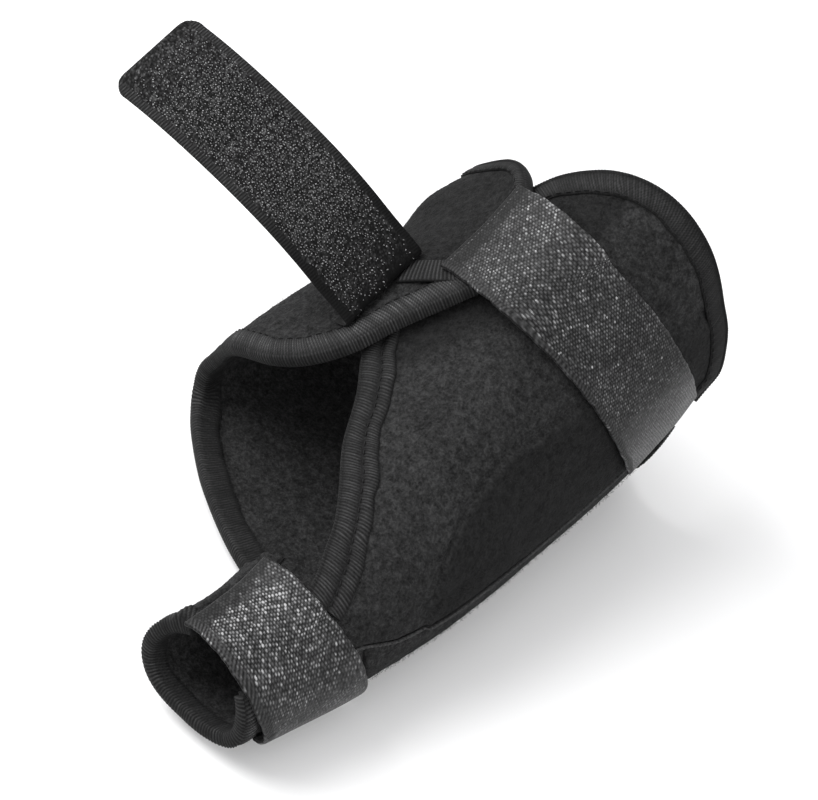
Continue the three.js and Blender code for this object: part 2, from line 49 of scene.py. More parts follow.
# y, xm, xl, xs, zt, xt, zm, zl, zb, tm, bm, bl, tl
FORM = np.array([
    [-134, 46.5, 18, -38, 23, 32, 11, 11, 3, 2.1, 2.6, 2.3, 2.1],
    [-108, 47.9, 17, -40, 25, 32, 11, 11, 1.8, 2.1, 2.7, 2.3, 2.1],
    [-92, 49.3, 14, -42, 29, 31, 13, 12, 0.8, 2.1, 2.6, 2.4, 2.1],
    [-78, 49.5, -12, -45, 35, 29, 15, 12, 0, 2.1, 2.6, 2.6, 1.9],
    [-62, 48.8, -42, -48, 42, 27, 16, 12, 0, 2.1, 2.7, 2.6, 2],
    [-45, 47, -50, -50, 50, 23, 17, 13, 0, 2, 2.7, 2.6, 1.95],
    [-25, 44.2, -49.5, -49.5, 58, 17, 19, 14, 0, 2, 2.6, 2.6, 1.87],
    [0, 40.4, -47, -47, 69, 11, 22, 16, 0, 2, 2.5, 2.6, 1.7],
    [20, 36.9, -44, -44, 81, 8, 26, 18, 0, 2, 2.4, 2.5, 1.85],
    [40, 33.2, -40, -40, 100, 6, 32, 21, 0, 2.1, 2.4, 2.4, 1.9],
    [60, 31.5, -36, -36, 122, 4, 36, 24, 0, 2.2, 2.4, 2.4, 1.9],
])
SEAM = [(-112, 33), (-89, 19.5), (-76, 3.5), (-66, 0), (-54, -1), (-40, -1.5), (-28, -3), (-12, -3.8), (3, -4), (20, -5.5), (39, -8)]
MEDIAL_FRONT = [(-112, 33), (-110, 50), (-101, 64), (-90, 76), (-80, 89), (-72, 96.5), (-63, 102), (-52, 106.5), (-44, 112), (-34, 119), (-26, 127)]
MEDIAL_REAR = [(39, -8), (43.8, -3.8), (45.5, 0.5), (44.8, 6.4), (42.6, 15.1), (39.9, 24.9), (37.2, 35.5), (34.1, 47.8), (32, 57.2), (29.3, 70), (27.1, 81.4), (25.2, 91.7), (23.1, 98.8), (19.1, 107.9), (13.6, 114.4), (6, 121), (-2, 127)]
FLAP_FRONT = [(-86, 16), (-86, -30), (-86, -75), (-81, -105), (-73, -130), (-64, -155), (-57.5, -180), (-57, -200), (-58.4, -217), (-57.8, -228), (-55.6, -234.6), (-51, -240.6), (-44, -245.4), (-34.6, -249), (-23, -254.7), (-13, -260), (-8, -265)]
FLAP_REAR = [(32, -7.1), (27.5, -18), (25, -32), (26, -47), (31, -64), (36.5, -90), (37, -130), (35.5, -165), (29.5, -195), (21.5, -215), (19.2, -228), (19.2, -235), (18.3, -240.5), (16.3, -244.6), (12.4, -249.3), (8, -255.5), (3, -265)]
CUFF_FRONT = [(-120, 38), (-121, 0), (-122, -45), (-123.5, -90), (-124.5, -140), (-124, -180), (-122.5, -205), (-121.2, -227), (-120, -249)]
CUFF_REAR = [(-87, 17), (-87, -30), (-87, -75), (-89, -110), (-93, -150), (-95, -190), (-93.5, -225), (-90.5, -249)]
CUFF_SEAM = [(-120, 38), (-112, 33), (-100, 27), (-87, 17)]
TOE_STRAP = [(-108.2, 112, 3.7, 0), (-107.9, 97, 4, 0), (-107.5, 75, 4, 0), (-106.8, 53, 4, 0), (-105.6, 35, 4, 0), (-104, 18, 4, 0), (-101.5, -8, 3.9, 0), (-100, -35, 3.7, 0), (-99.5, -60, 3.6, 0)]
ANKLE_STRAP = [(-3.5, 111, 8.9, 2.6), (-4.1, 102, 8.9, 2.4), (-4.5, 92.4, 8.9, 1.6), (-4.4, 79, 8, 0.8), (-1.8, 62, 5.3, 0.2), (4.3, 40, 4.6, 0), (11.4, 20, 4.9, 0), (17.2, 7, 4.9, 0), (21.1, -2.3, 4.5, 0)]
ANKLE_CUT = 0.07
FREE = [(-0.9, 1.5), (0.9, 3.7), (6.7, 8.9), (14, 16.1), (21.9, 22.7), (30.3, 28.4), (39.1, 33.5), (48.2, 38.1), (57.8, 42.1), (69, 45.6)]
FOLD_MID, FOLD_ALONG, FOLD_GUESS, TAB, CORNER = (-15.7, -31.6, 58.3), (-0.178, 0.938, 0.297), (-30.0, 119.0), (3.8, 2.4, 0.9), 5.0
POCKET_TOP = [(-80, -40), (-69, -10), (-67, 8), (-66, 16), (-64, 24), (-61.5, 32), (-58, 38.5), (-52.8, 45), (-45, 48.8), (-36, 50), (-29, 46.5), (-22, 43.5), (-12, 41.5), (4, 38), (20, 32), (32, 24.5), (40, 19)]


# ---------- the same curves and last as the part's source, in mm ----------
def track(xs, vs):
    xs, vs = np.asarray(xs, float), np.asarray(vs, float)
    n, d = len(xs), np.diff(vs) / np.diff(xs)
    m = np.zeros(n)
    for i in range(1, n - 1):
        if d[i - 1] * d[i] > 0:
            a, b = xs[i] - xs[i - 1], xs[i + 1] - xs[i]
            w1, w2 = 2 * b + a, b + 2 * a
            m[i] = (w1 + w2) / (w1 / d[i - 1] + w2 / d[i])
    m[0], m[-1] = d[0], d[-1]

    def at(x):
        x = np.asarray(x, float)
        i = np.clip(np.searchsorted(xs, x, side="left") - 1, 0, n - 2)
        w = xs[i + 1] - xs[i]
        t = (x - xs[i]) / w
        t2, t3 = t * t, t * t * t
        return (2 * t3 - 3 * t2 + 1) * vs[i] + (t3 - 2 * t2 + t) * w * m[i] + (3 * t2 - 2 * t3) * vs[i + 1] + (t3 - t2) * w * m[i + 1]

    return at


TRACKS = [track(FORM[:, 0], FORM[:, k]) for k in range(1, 13)]


def on_last(y, th, outer=1):
    """Points of the last; outer is 1 for its own outer side and 2 for the outer side as the sole panel takes it."""
    y, th = np.broadcast_arrays(np.asarray(y, float), np.asarray(th, float))
    f = [t(y) for t in TRACKS]
    xm, xl, zt, xt, zm, zl, zb = f[0], f[outer], f[3], f[4], f[5], f[6], f[7]
    a = np.radians(th)
    C, S = np.cos(a), np.sin(a)
    inner, top = C >= 0, S >= 0
    n = np.where(inner, np.where(top, f[8], f[9]), np.where(top, f[11], f[10]))
    ax, cz = np.where(inner, xm - xt, xt - xl), np.where(inner, zm, zl)
    az = np.where(top, zt - cz, cz - zb)
    return np.stack([xt + ax * np.sign(C) * np.abs(C) ** (2 / n), y, cz + az * np.sign(S) * np.abs(S) ** (2 / n)], -1)


def unit(v):
    return v / np.maximum(np.linalg.norm(v, axis=-1, keepdims=True), 1e-12)


def ways(y, th, outer=1):
    along = on_last(y + 0.5, th, outer) - on_last(y - 0.5, th, outer)
    rnd = (on_last(y, th + 1, outer) - on_last(y, th - 1, outer)) * 0.5
    return along, rnd, unit(np.cross(along, rnd))


def lift(y, th, h, outer=1):
    return on_last(y, th, outer) + ways(y, th, outer)[2] * np.asarray(h, float)[..., None]


def step_on(y, th, go, dist, outer=1, parts=4):
    """The places reached from (y, th) by going dist along the last in direction go."""
    y, th, go = np.array(y, float), np.array(th, float), np.array(go, float)
    d = np.asarray(dist, float) / parts
    for _ in range(parts):
        along, rnd, out = ways(y, th, outer)
        go = unit(go - out * (go * out).sum(-1, keepdims=True))
        aa, rr, ar = (along * along).sum(-1), (rnd * rnd).sum(-1), (along * rnd).sum(-1)
        ga, gr = (go * along).sum(-1), (go * rnd).sum(-1)
        det = aa * rr - ar * ar
        y, th = y + d * (ga * rr - gr * ar) / det, th + d * (gr * aa - ga * ar) / det
    return y, th


def curve(rows):
    rows = np.asarray(rows, float)
    p = on_last(rows[:, 0], rows[:, 1])
    s = np.concatenate([[0], np.cumsum(np.linalg.norm(np.diff(p, axis=0), axis=1))])
    t = [track(s / s[-1], rows[:, k]) for k in range(rows.shape[1])]
    return lambda u: [f(u) for f in t]


def smooth(a, b, x):
    t = np.clip((np.asarray(x, float) - a) / (b - a), 0, 1)
    return t * t * (3 - 2 * t)


def patch(front, rear, near, far):
    f0, f1, r0, r1 = front(0.0), front(1.0), rear(0.0), rear(1.0)

    def at(s, t):
        s, t = np.broadcast_arrays(np.asarray(s, float), np.asarray(t, float))
        F, R, N, E = front(t), rear(t), near(s), far(s)
        return [(1 - s) * F[k] + s * R[k] + (1 - t) * N[k] + t * E[k] - ((1 - s) * (1 - t) * f0[k] + (1 - s) * t * f1[k] + s * (1 - t) * r0[k] + s * t * r1[k]) for k in (0, 1)]

    return at


def straight(a, b):
    return lambda s: [a[k] + (b[k] - a[k]) * s for k in (0, 1)]


def shifted(rows, d):
    return [(y, th + d) for y, th in rows]


medial_front, medial_rear, medial_seam = curve(shifted(MEDIAL_FRONT, SEAM_DEG)), curve(shifted(MEDIAL_REAR, SEAM_DEG)), curve(shifted(SEAM, SEAM_DEG))
medial_patch = patch(medial_front, medial_rear, medial_seam, straight(medial_front(1.0), medial_rear(1.0)))
flap_front, flap_rear = curve(shifted(FLAP_FRONT, -SEAM_DEG)), curve(shifted(FLAP_REAR, -SEAM_DEG))
sole_seam = curve(shifted([(-86, 16)] + [r for r in SEAM if -86 < r[0] < FLAP_REAR[0][0]] + [FLAP_REAR[0]], -SEAM_DEG))
flap_patch = patch(flap_front, flap_rear, sole_seam, straight(flap_front(1.0), flap_rear(1.0)))
cuff_front, cuff_rear, cuff_seam = curve(shifted(CUFF_FRONT, -SEAM_DEG)), curve(shifted(CUFF_REAR, -SEAM_DEG)), curve(shifted(CUFF_SEAM, -SEAM_DEG))
cuff_patch = patch(cuff_front, cuff_rear, cuff_seam, straight(cuff_front(1.0), cuff_rear(1.0)))
pocket_top = track([r[0] for r in POCKET_TOP], [r[1] for r in POCKET_TOP])


def flap_under(y, th):
    r, y0, t0, ry, rt = PUFF
    return UNDER * smooth(-198, -220, th) + r * np.exp(-(((y - y0) / ry) ** 2) - ((th - t0) / rt) ** 2)


def cuff_outer(y, th):
    return CUFF + HEM[0] * np.exp(-(((th - HEM[1]) / HEM[2]) ** 2)) + 0 * y


# soft folds and dents of the worn cloth: y, th, length and breadth in mm and degrees, turn in degrees, rise in mm
MEDIAL_FOLDS = [
    (-52, 62, 16, 9, 25, -0.35), (-30, 70, 14, 7, -20, 0.3), (-66, 40, 14, 8, 40, 0.3), (-60, 12, 15, 5, 35, -0.45),
    (-20, 20, 22, 5, 10, -0.3), (-38, 8, 18, 5, 15, 0.25), (28, 50, 9, 9, 60, 0.35), (33, 22, 10, 6, 70, -0.4), (24, 84, 9, 6, 20, -0.3),
]
FLAP_FOLDS = [
    (-30, -251, 9, 3.2, 35, 0.7), (-22, -249, 8, 2.4, 55, -0.5), (-38, -246, 8, 3, 20, 0.4), (-15, -240, 12, 6, 70, 0.5),
    (10, -238, 8, 6, 80, -0.5), (-45, -225, 10, 7, 10, 0.35), (-10, -215, 16, 9, 30, -0.4),
]


def folds(y, th, rows):
    h = np.zeros(np.broadcast(y, th).shape)
    for y0, t0, ly, lt, turn, rise in rows:
        a, b, r = (y - y0) / ly, (th - t0) / lt, math.radians(turn)
        u, v = a * math.cos(r) + b * math.sin(r), -a * math.sin(r) + b * math.cos(r)
        h = h + rise * np.exp(-(u * u + 1.8 * v * v))
    return h


def medial_outer(y, th):
    return PANEL + POCKET_RISE * smooth(pocket_top(y) + 3, pocket_top(y) - 5, th) * smooth(-6, 2, th)


# ---------- meshes ----------
def put(name, verts, faces, uvs=None, smooth_faces=True, face_mat=None, marks=None):
    me = bpy.data.meshes.new(name)
    v = np.asarray(verts, np.float32).reshape(-1, 3) * MM
    f = np.asarray(faces, np.int32)
    me.vertices.add(len(v))
    me.vertices.foreach_set("co", v.ravel())
    k = f.shape[1]
    me.loops.add(f.size)
    me.loops.foreach_set("vertex_index", f.ravel())
    me.polygons.add(len(f))
    me.polygons.foreach_set("loop_start", np.arange(0, f.size, k, dtype=np.int32))
    me.polygons.foreach_set("loop_total", np.full(len(f), k, np.int32))
    if smooth_faces:
        me.polygons.foreach_set("use_smooth", np.ones(len(f), bool))
    if face_mat is not None:
        me.polygons.foreach_set("material_index", np.asarray(face_mat, np.int32))
    if uvs is not None:
        layer = me.uv_layers.new(name="mm")
        layer.data.foreach_set("uv", np.asarray(uvs, np.float32)[f.ravel()].ravel())
    for key, val in (marks or {}).items():
        me.attributes.new(key, "FLOAT", "POINT").data.foreach_set("value", np.asarray(val, np.float32).ravel())
    me.update()
    me.validate()
    o = bpy.data.objects.new(name, me)
    bpy.context.scene.collection.objects.link(o)
    return o


def edge_lines(length, step, fine=(0.12, 0.35, 0.7, 1.2)):
    """Lines from 0 to 1 about step apart, closer together near both ends so that edges can be rounded."""
    ends = [x / length for x in fine if x / length < 0.2]
    n = max(2, int(round(length / step)))
    mid = np.linspace(ends[-1], 1 - ends[-1], n + 1)
    return np.concatenate([[0], ends[:-1], mid, [1 - e for e in ends[:-1]][::-1], [1]])


def two_faces(lo, hi):
    """Vertices and quads of a closed sheet from two grids of points."""
    ns, nt = lo.shape[:2]
    v = np.concatenate([lo.reshape(-1, 3), hi.reshape(-1, 3)])
    i = np.arange(ns * nt).reshape(ns, nt)
    a, b, c, d = i[:-1, :-1].ravel(), i[1:, :-1].ravel(), i[1:, 1:].ravel(), i[:-1, 1:].ravel()
    N = ns * nt
    q = [np.stack([a, b, c, d], 1), np.stack([a, d, c, b], 1) + N]
    for r, flip in ((i[:, 0], 0), (i[:, -1], 1), (i[0, :], 1), (i[-1, :], 0)):
        w = np.stack([r[:-1], r[:-1] + N, r[1:] + N, r[1:]], 1)
        q.append(w[:, ::-1] if flip else w)
    f = np.concatenate(q)
    # outward: the signed volume tells which way round the faces run
    p0, p1, p2, p3 = (v[f[:, k]] for k in range(4))
    vol = (p0 * np.cross(p1, p2)).sum() + (p0 * np.cross(p2, p3)).sum()
    return v, (f if vol > 0 else f[:, ::-1])


def rounded(d, r):
    """1 inside, falling to 0 at an edge as a round edge of radius r does."""
    x = np.clip(d / r, 0, 1)
    return np.sqrt(1 - (1 - x) ** 2)


def panel_mesh(name, at, outer, lens, step, under, over, fold_rows, edge_r=1.1, mark=None, relief=None):
    ls, lt = lens
    ss, tt = edge_lines(ls, step), edge_lines(lt, step)
    S, T = np.meshgrid(ss, tt, indexing="ij")
    y, th = at(S, T)
    lo, hi = under(y, th), over(y, th)
    mid = (lo + hi) / 2
    e = np.minimum(rounded(np.minimum(S, 1 - S) * ls, edge_r), rounded(np.minimum(T, 1 - T) * lt, edge_r))
    # the folds die out towards the edges, where the tape holds the cloth
    f = folds(y, th, fold_rows) * smooth(0, 7, np.minimum(S, 1 - S) * ls) * smooth(0, 5, np.minimum(T, 1 - T) * lt)
    base, out = on_last(y, th, outer), ways(y, th, outer)[2]
    P = base + out * (mid - (mid - lo) * e + f * 0.6)[..., None]
    nap = 0.05 * rng.standard_normal(S.shape)  # the pile is never quite even
    Q = base + out * (mid + (hi - mid) * e + f + nap + (relief(y, th) if relief else 0))[..., None]
    v, q = two_faces(P, Q)
    uv = np.stack([S * ls, T * lt], -1).reshape(-1, 2)
    shade = mark(y, th) if mark else np.zeros(S.shape)
    return put(name, v, q, np.concatenate([uv, uv]), marks={"shade": np.concatenate([0 * shade.ravel(), shade.ravel()])})


# ---------- materials ----------
def material(name):
    m = bpy.data.materials.new(name)
    m.use_nodes = True
    nt = m.node_tree
    b = nt.nodes["Principled BSDF"]
    return m, nt, b


def node(nt, kind, **kw):
    n = nt.nodes.new(kind)
    for k, v in kw.items():
        if k in n.inputs:
            n.inputs[k].default_value = v
        else:
            setattr(n, k, v)
    return n


def math_node(nt, op, a, b=None, clamp=False):
    n = nt.nodes.new("ShaderNodeMath")
    n.operation, n.use_clamp = op, clamp
    for i, x in enumerate((a, b)):
        if x is None:
            continue
        if isinstance(x, (int, float)):
            n.inputs[i].default_value = x
        else:
            nt.links.new(x, n.inputs[i])
    return n.outputs[0]


def ramp(nt, fac, stops):
    n = nt.nodes.new("ShaderNodeValToRGB")
    while len(n.color_ramp.elements) > 1:
        n.color_ramp.elements.remove(n.color_ramp.elements[-1])
    for i, (p, c) in enumerate(stops):
        e = n.color_ramp.elements[0] if i == 0 else n.color_ramp.elements.new(p)
        e.position, e.color = p, (c, c, c * 1.01, 1) if isinstance(c, float) else (*c, 1)
    nt.links.new(fac, n.inputs[0])
    return n.outputs[0]


def mixed(nt, fac, a, b, kind="MIX"):
    n = nt.nodes.new("ShaderNodeMix")
    n.data_type, n.blend_type = "RGBA", kind
    ins = [s for s in n.inputs if s.enabled]
    nt.links.new(fac, ins[0]) if not isinstance(fac, float) else setattr(ins[0], "default_value", fac)
    for sock, x in ((ins[1], a), (ins[2], b)):
        if isinstance(x, tuple):
            sock.default_value = (*x, 1)
        else:
            nt.links.new(x, sock)
    return [s for s in n.outputs if s.enabled][0]


def noise(nt, coord, scale, detail=2.0, rough=0.5):
    n = node(nt, "ShaderNodeTexNoise", Scale=scale, Detail=detail, Roughness=rough)
    nt.links.new(coord, n.inputs["Vector"])
    return n.outputs["Fac"]


def bump(nt, height, strength, distance, after=None):
    n = node(nt, "ShaderNodeBump", Strength=strength, Distance=distance)
    nt.links.new(height, n.inputs["Height"])
    if after is not None:
        nt.links.new(after, n.inputs["Normal"])
    return n.outputs["Normal"]


def mark(nt, name):
    return node(nt, "ShaderNodeAttribute", attribute_name=name).outputs["Fac"]


def fleece(name, dark, light, sheen):
    """Short velour pile: soft mottling, tiny tufts, a faint sheen; darker and smoother where painted shade is marked.
    """
    m, nt, b = material(name)
    co = node(nt, "ShaderNodeTexCoord").outputs["Object"]
    tuft = noise(nt, co, 1500, 3.0, 0.7)
    clump = noise(nt, co, 520, 3.0, 0.6)
    cloud = noise(nt, co, 70, 2.0, 0.5)
    mix = math_node(nt, "ADD", math_node(nt, "MULTIPLY", tuft, 0.5), math_node(nt, "MULTIPLY", clump, 0.4))
    mix = math_node(nt, "ADD", mix, math_node(nt, "MULTIPLY", cloud, 0.1))
    pile = ramp(nt, mix, [(0.38, dark), (0.5, (dark + light) * 0.42), (0.62, light)])
    # A darker, flatter copy of the pile, used as painted shade where the shade attribute is marked.
    shaded_pile = ramp(nt, mix, [(0.38, dark * 0.5), (0.62, light * 0.42)])
    nt.links.new(mixed(nt, mark(nt, "shade"), pile, shaded_pile), b.inputs["Base Color"])
    b.inputs["Roughness"].default_value = 0.92
    b.inputs["Specular IOR Level"].default_value = 0.12
    b.inputs["Sheen Weight"].default_value = sheen
    b.inputs["Sheen Roughness"].default_value = 0.5
    b.inputs["Sheen Tint"].default_value = (0.8, 0.8, 0.82, 1)
    n1 = bump(nt, clump, 0.5, 0.0008)
    nt.links.new(bump(nt, tuft, 0.8, 0.0006, n1), b.inputs["Normal"])
    return m


RIB = 0.8  # mm from rib to rib of the edge tape


def knit(name, dark, light, glint=0.09, rough=0.45):
    """Strap face: an attribute on the mesh sets how light each part of the weave is drawn, the loops' own pattern
    together with painted highlights and glints on them.
    """
    m, nt, b = material(name)
    co = node(nt, "ShaderNodeTexCoord").outputs["Object"]
    fine = noise(nt, co, 1900, 2.0, 0.6)
    broad = noise(nt, co, 110, 2.0, 0.5)
    k = math_node(nt, "MULTIPLY", mark(nt, "weave_and_highlight"), math_node(nt, "MULTIPLY_ADD", fine, 1.3))
    k.node.inputs[1].links[0].from_node.inputs[2].default_value = 0.35
    k = math_node(nt, "MULTIPLY", k, math_node(nt, "MULTIPLY_ADD", broad, 0.8))
    k.node.inputs[1].links[0].from_node.inputs[2].default_value = 0.6
    k = math_node(nt, "ADD", k, math_node(nt, "MULTIPLY", fine, 0.05), True)
    nt.links.new(ramp(nt, k, [(0.0, dark), (0.35, dark + (light - dark) * 0.16), (0.7, dark + (light - dark) * 0.55), (1.0, light)]), b.inputs["Base Color"])
    b.inputs["Roughness"].default_value = rough
    b.inputs["Specular IOR Level"].default_value = glint
    b.inputs["Sheen Weight"].default_value = 0.015
    b.inputs["Sheen Roughness"].default_value = 0.4
    nt.links.new(bump(nt, fine, 0.5, 0.0003), b.inputs["Normal"])
    return m


def thread(name, dark, light, rough=0.6, glint=0.1):
    m, nt, b = material(name)
    co = node(nt, "ShaderNodeTexCoord").outputs["Object"]
    n = noise(nt, co, 1400, 2.0, 0.6)
    nt.links.new(ramp(nt, n, [(0.3, dark), (0.7, light)]), b.inputs["Base Color"])
    b.inputs["Roughness"].default_value = rough
    b.inputs["Specular IOR Level"].default_value = glint
    b.inputs["Sheen Weight"].default_value = 0.03
    nt.links.new(bump(nt, n, 0.4, 0.0002), b.inputs["Normal"])
    return m


# ---------- panels ----------
fleece_mat = fleece("black_fleece", 0.007, 0.046, 0.02)
cuff_mat = fleece("cuff_fleece", 0.008, 0.046, 0.02)
tape_mat = knit("ribbed_tape", 0.003, 0.34, 0.05, 0.65)


def add(obj, mats, nodes):
    for m in mats if isinstance(mats, (list, tuple)) else [mats]:
        obj.data.materials.append(m)
    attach(obj, "root")
    if nodes:
        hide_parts(*nodes)
    return obj


zero = lambda y, th: np.zeros(np.shape(y))



def pocket_painted_shade(y, th):
    """Painted shade: darker on the splint pocket, which faces down, under the flap's front edge where its shadow
    falls, and a little over the panel where y is below 12, fading out by y 30.
    """
    pocket = smooth(pocket_top(y) + 1.5, pocket_top(y) - 5, th) * smooth(-80, -60, y) * 0.8
    edge = np.interp(y, [-60, -44, -34.6, -23, -13, 0], [121, 114.6, 111, 105.3, 100, 90])
    shelter = 0.9 * smooth(edge - 15, edge - 5, th) * smooth(-62, -50, y)
    body = 0.2 * smooth(30, 12, y)
    return np.clip(pocket + shelter + body, 0, 1)


def pocket_groove(y, th):
    """The sewn line round the splint pocket, with the cloth puckered beside it."""
    d = (th - pocket_top(y)) * 0.78
    line = smooth(-9, -2, th) * smooth(44, 36, y)
    return line * (-0.85 * np.exp(-((d / 1.1) ** 2)) + 0.35 * np.exp(-(((d + 2.6) / 1.5) ** 2)) + 0.2 * np.exp(-(((d - 2.4) / 1.4) ** 2)))


# Painted shade: the sole flap's top, from y -12 towards the heel and past th -212, is drawn darker.
def flap_painted_shade(y, th):
    return 0.85 * smooth(-35, -12, y) * smooth(-190, -212, th)


add(panel_mesh("medial_panel_cloth", medial_patch, 1, (152, 128), 0.72, zero, medial_outer, MEDIAL_FOLDS, mark=pocket_painted_shade, relief=pocket_groove), fleece_mat, ["medial_panel"])
add(panel_mesh("sole_flap_cloth", flap_patch, 2, (118, 292), 1.35, flap_under, lambda y, th: flap_under(y, th) + PANEL, FLAP_FOLDS, mark=flap_painted_shade), fleece_mat, ["sole_flap"])
add(panel_mesh("toe_cuff_cloth", cuff_patch, 1, (34, 104), 0.7, zero, cuff_outer, []), cuff_mat, ["toe_cuff"])


# ---------- edge tapes ----------
def edge_run(at, side, t0, t1, step, outer):
    """Evenly spaced places along a panel's edge, with the way inwards along the last."""
    t = np.linspace(t0, t1, 1500)
    s = np.full_like(t, float(side))
    y, th = at(s, t)
    p = on_last(y, th, outer)
    arc = np.concatenate([[0], np.cumsum(np.linalg.norm(np.diff(p, axis=0), axis=1))])
    n = int(arc[-1] / step)
    a = np.linspace(0, arc[-1], n + 1)
    t = np.interp(a, arc, t)
    y, th = at(np.full_like(t, float(side)), t)
    y2, th2 = at(np.full_like(t, abs(side - 0.01)), t)
    p = on_last(y, th, outer)
    run = unit(np.gradient(p, axis=0))
    out = ways(y, th, outer)[2]
    into = np.cross(run, out)
    inward = on_last(y2, th2, outer) - p
    into *= np.sign((into * inward).sum(-1, keepdims=True))
    return a, t, y, th, run, into


def tape_mesh(name, at, side, t0, t1, width, under, over, outer, bands=((0.0, 1.0),), rib=RIB, amp=0.10, slant=0.35, bright=1.0):
    a, t, y, th, run, into = edge_run(at, side, t0, t1, rib / 4, outer)
    phase = 2 * np.pi * (a + 0.10 * np.sin(a * 0.9) + 0.08 * np.sin(a * 0.37 + 1.3)) / rib
    tone = rng.uniform(0.45, 1.0, int(a[-1] / rib) + 60)  # no two ribs catch the light alike
    wide = width * (1 + 0.03 * np.sin(a * 0.23) + 0.02 * np.sin(a * 0.61 + 0.5))
    e, k = GAP, TAPE
    prof = []
    n_top = 9 if len(bands) == 1 else 15
    for i in range(n_top + 1):  # across the top face, from the inner end to the folded edge
        x = 1 - i / n_top
        d = 0.35
        for b0, b1 in bands:
            if b0 <= x <= b1:
                c = (x - b0) / (b1 - b0)
                d = 0.35 + 0.55 * (1 - abs(2 * c - 1) ** 2.5)
        prof.append((x, 1, d, 1.0))
    n_face = len(prof)
    prof += [(-0.35, 1, 0.85, 1.0), (-0.8, 1, 0.25, 0.7), (-1.0, 0.5, 0.0, 0.7), (-0.8, 0, 0.25, 0.7), (-0.35, 0, 0.8, 1.0)]
    for x in (0.15, 0.45, 0.75, 0.97, 1.0):
        prof.append((x, 0, 0.95 if x < 0.97 else (0.7 if x < 1 else 0.25), 1.0 if x < 1 else 0.2))
    inner = [(1.0, 0, 0.06), (0.5, 0, 0.06), (-0.22, 0, 0.06), (-0.22, 1, 0.06), (0.5, 1, 0.06), (1.0, 1, 0.06)]
    rings, vs, marks = [], [], []
    vrun = 0.0
    for n_prof, (x, side_z, d, r) in enumerate(prof):
        turn = phase + 2 * np.pi * slant * max(x, 0) * width / rib
        ribs = amp * np.cos(turn)
        # Rib colour is painted highlight: lighter on each rib's crest, across the middle of each raised band and round
        # the folded edge, a little different for each rib and scaled for each tape.
        env = 0.0 if n_prof < n_face else (0.45 if x < 0 else 0.3)
        for b0, b1 in bands:
            if n_prof < n_face and b0 <= x <= b1:
                env = max(env, 0.2 + 0.8 * (1 - abs(2 * (x - b0) / (b1 - b0) - 1) ** 2.0))
        pulse = 0.5 + 0.5 * np.cos(turn)
        own = tone[np.clip(np.floor(turn / (2 * np.pi) + 0.5).astype(int), 0, len(tone) - 1)]
        marks.append(bright * 0.62 * env * (0.02 + 0.98 * pulse**2.2) * own + 0.05 * rng.random(len(a)))
        i = wide * x if x >= 0 else np.full_like(wide, x)
        if x < 0:
            i = i - ribs * r * (0.6 if side_z == 0.5 else 0.3)
        yy, tt = step_on(y, th, into, i, outer)
        lo, hi = under(yy, tt), over(yy, tt)
        if side_z == 1:
            h = hi + d + ribs * r * (1.0 if d > 0.5 else 0.4)
        elif side_z == 0:
            h = lo - d - ribs * r * 0.6
        else:
            h = (lo + hi) / 2
        rings.append(lift(yy, tt, h, outer))
        vs.append(vrun)
        vrun += 0.6
    for x, side_z, d in inner:
        i = wide * x if x >= 0 else np.full_like(wide, x)
        yy, tt = step_on(y, th, into, i, outer)
        h = over(yy, tt) + d if side_z else under(yy, tt) - d
        rings.append(lift(yy, tt, h, outer))
        marks.append(np.zeros(len(a)))
        vs.append(vrun)
        vrun += 0.6
    P = np.stack(rings, 1)  # along, round
    na, nr = P.shape[:2]
    idx = np.arange(na * nr).reshape(na, nr)
    j = np.arange(nr)
    jn = (j + 1) % nr
    f = np.stack([idx[:-1][:, j], idx[1:][:, j], idx[1:][:, jn], idx[:-1][:, jn]], -1).reshape(-1, 4)
    caps = []
    m = nr // 2
    for k_end, flip in ((0, 0), (na - 1, 1)):
        for q in range(m - 1):
            c = [idx[k_end, q], idx[k_end, q + 1], idx[k_end, nr - 2 - q], idx[k_end, nr - 1 - q]]
            caps.append(c[::-1] if flip else c)
    f = np.concatenate([f, np.array(caps)])
    v = P.reshape(-1, 3)
    p0, p1, p2, p3 = (v[f[:, q]] for q in range(4))
    if (p0 * np.cross(p1, p2)).sum() + (p0 * np.cross(p2, p3)).sum() < 0:
        f = f[:, ::-1]
    uv = np.stack([np.repeat(phase / (2 * np.pi) * rib, nr), np.tile(vs, na)], 1)
    return put(name, v, f, uv, marks={"weave_and_highlight": np.stack(marks, 1).ravel()}), (a, y, th, run, into, wide)


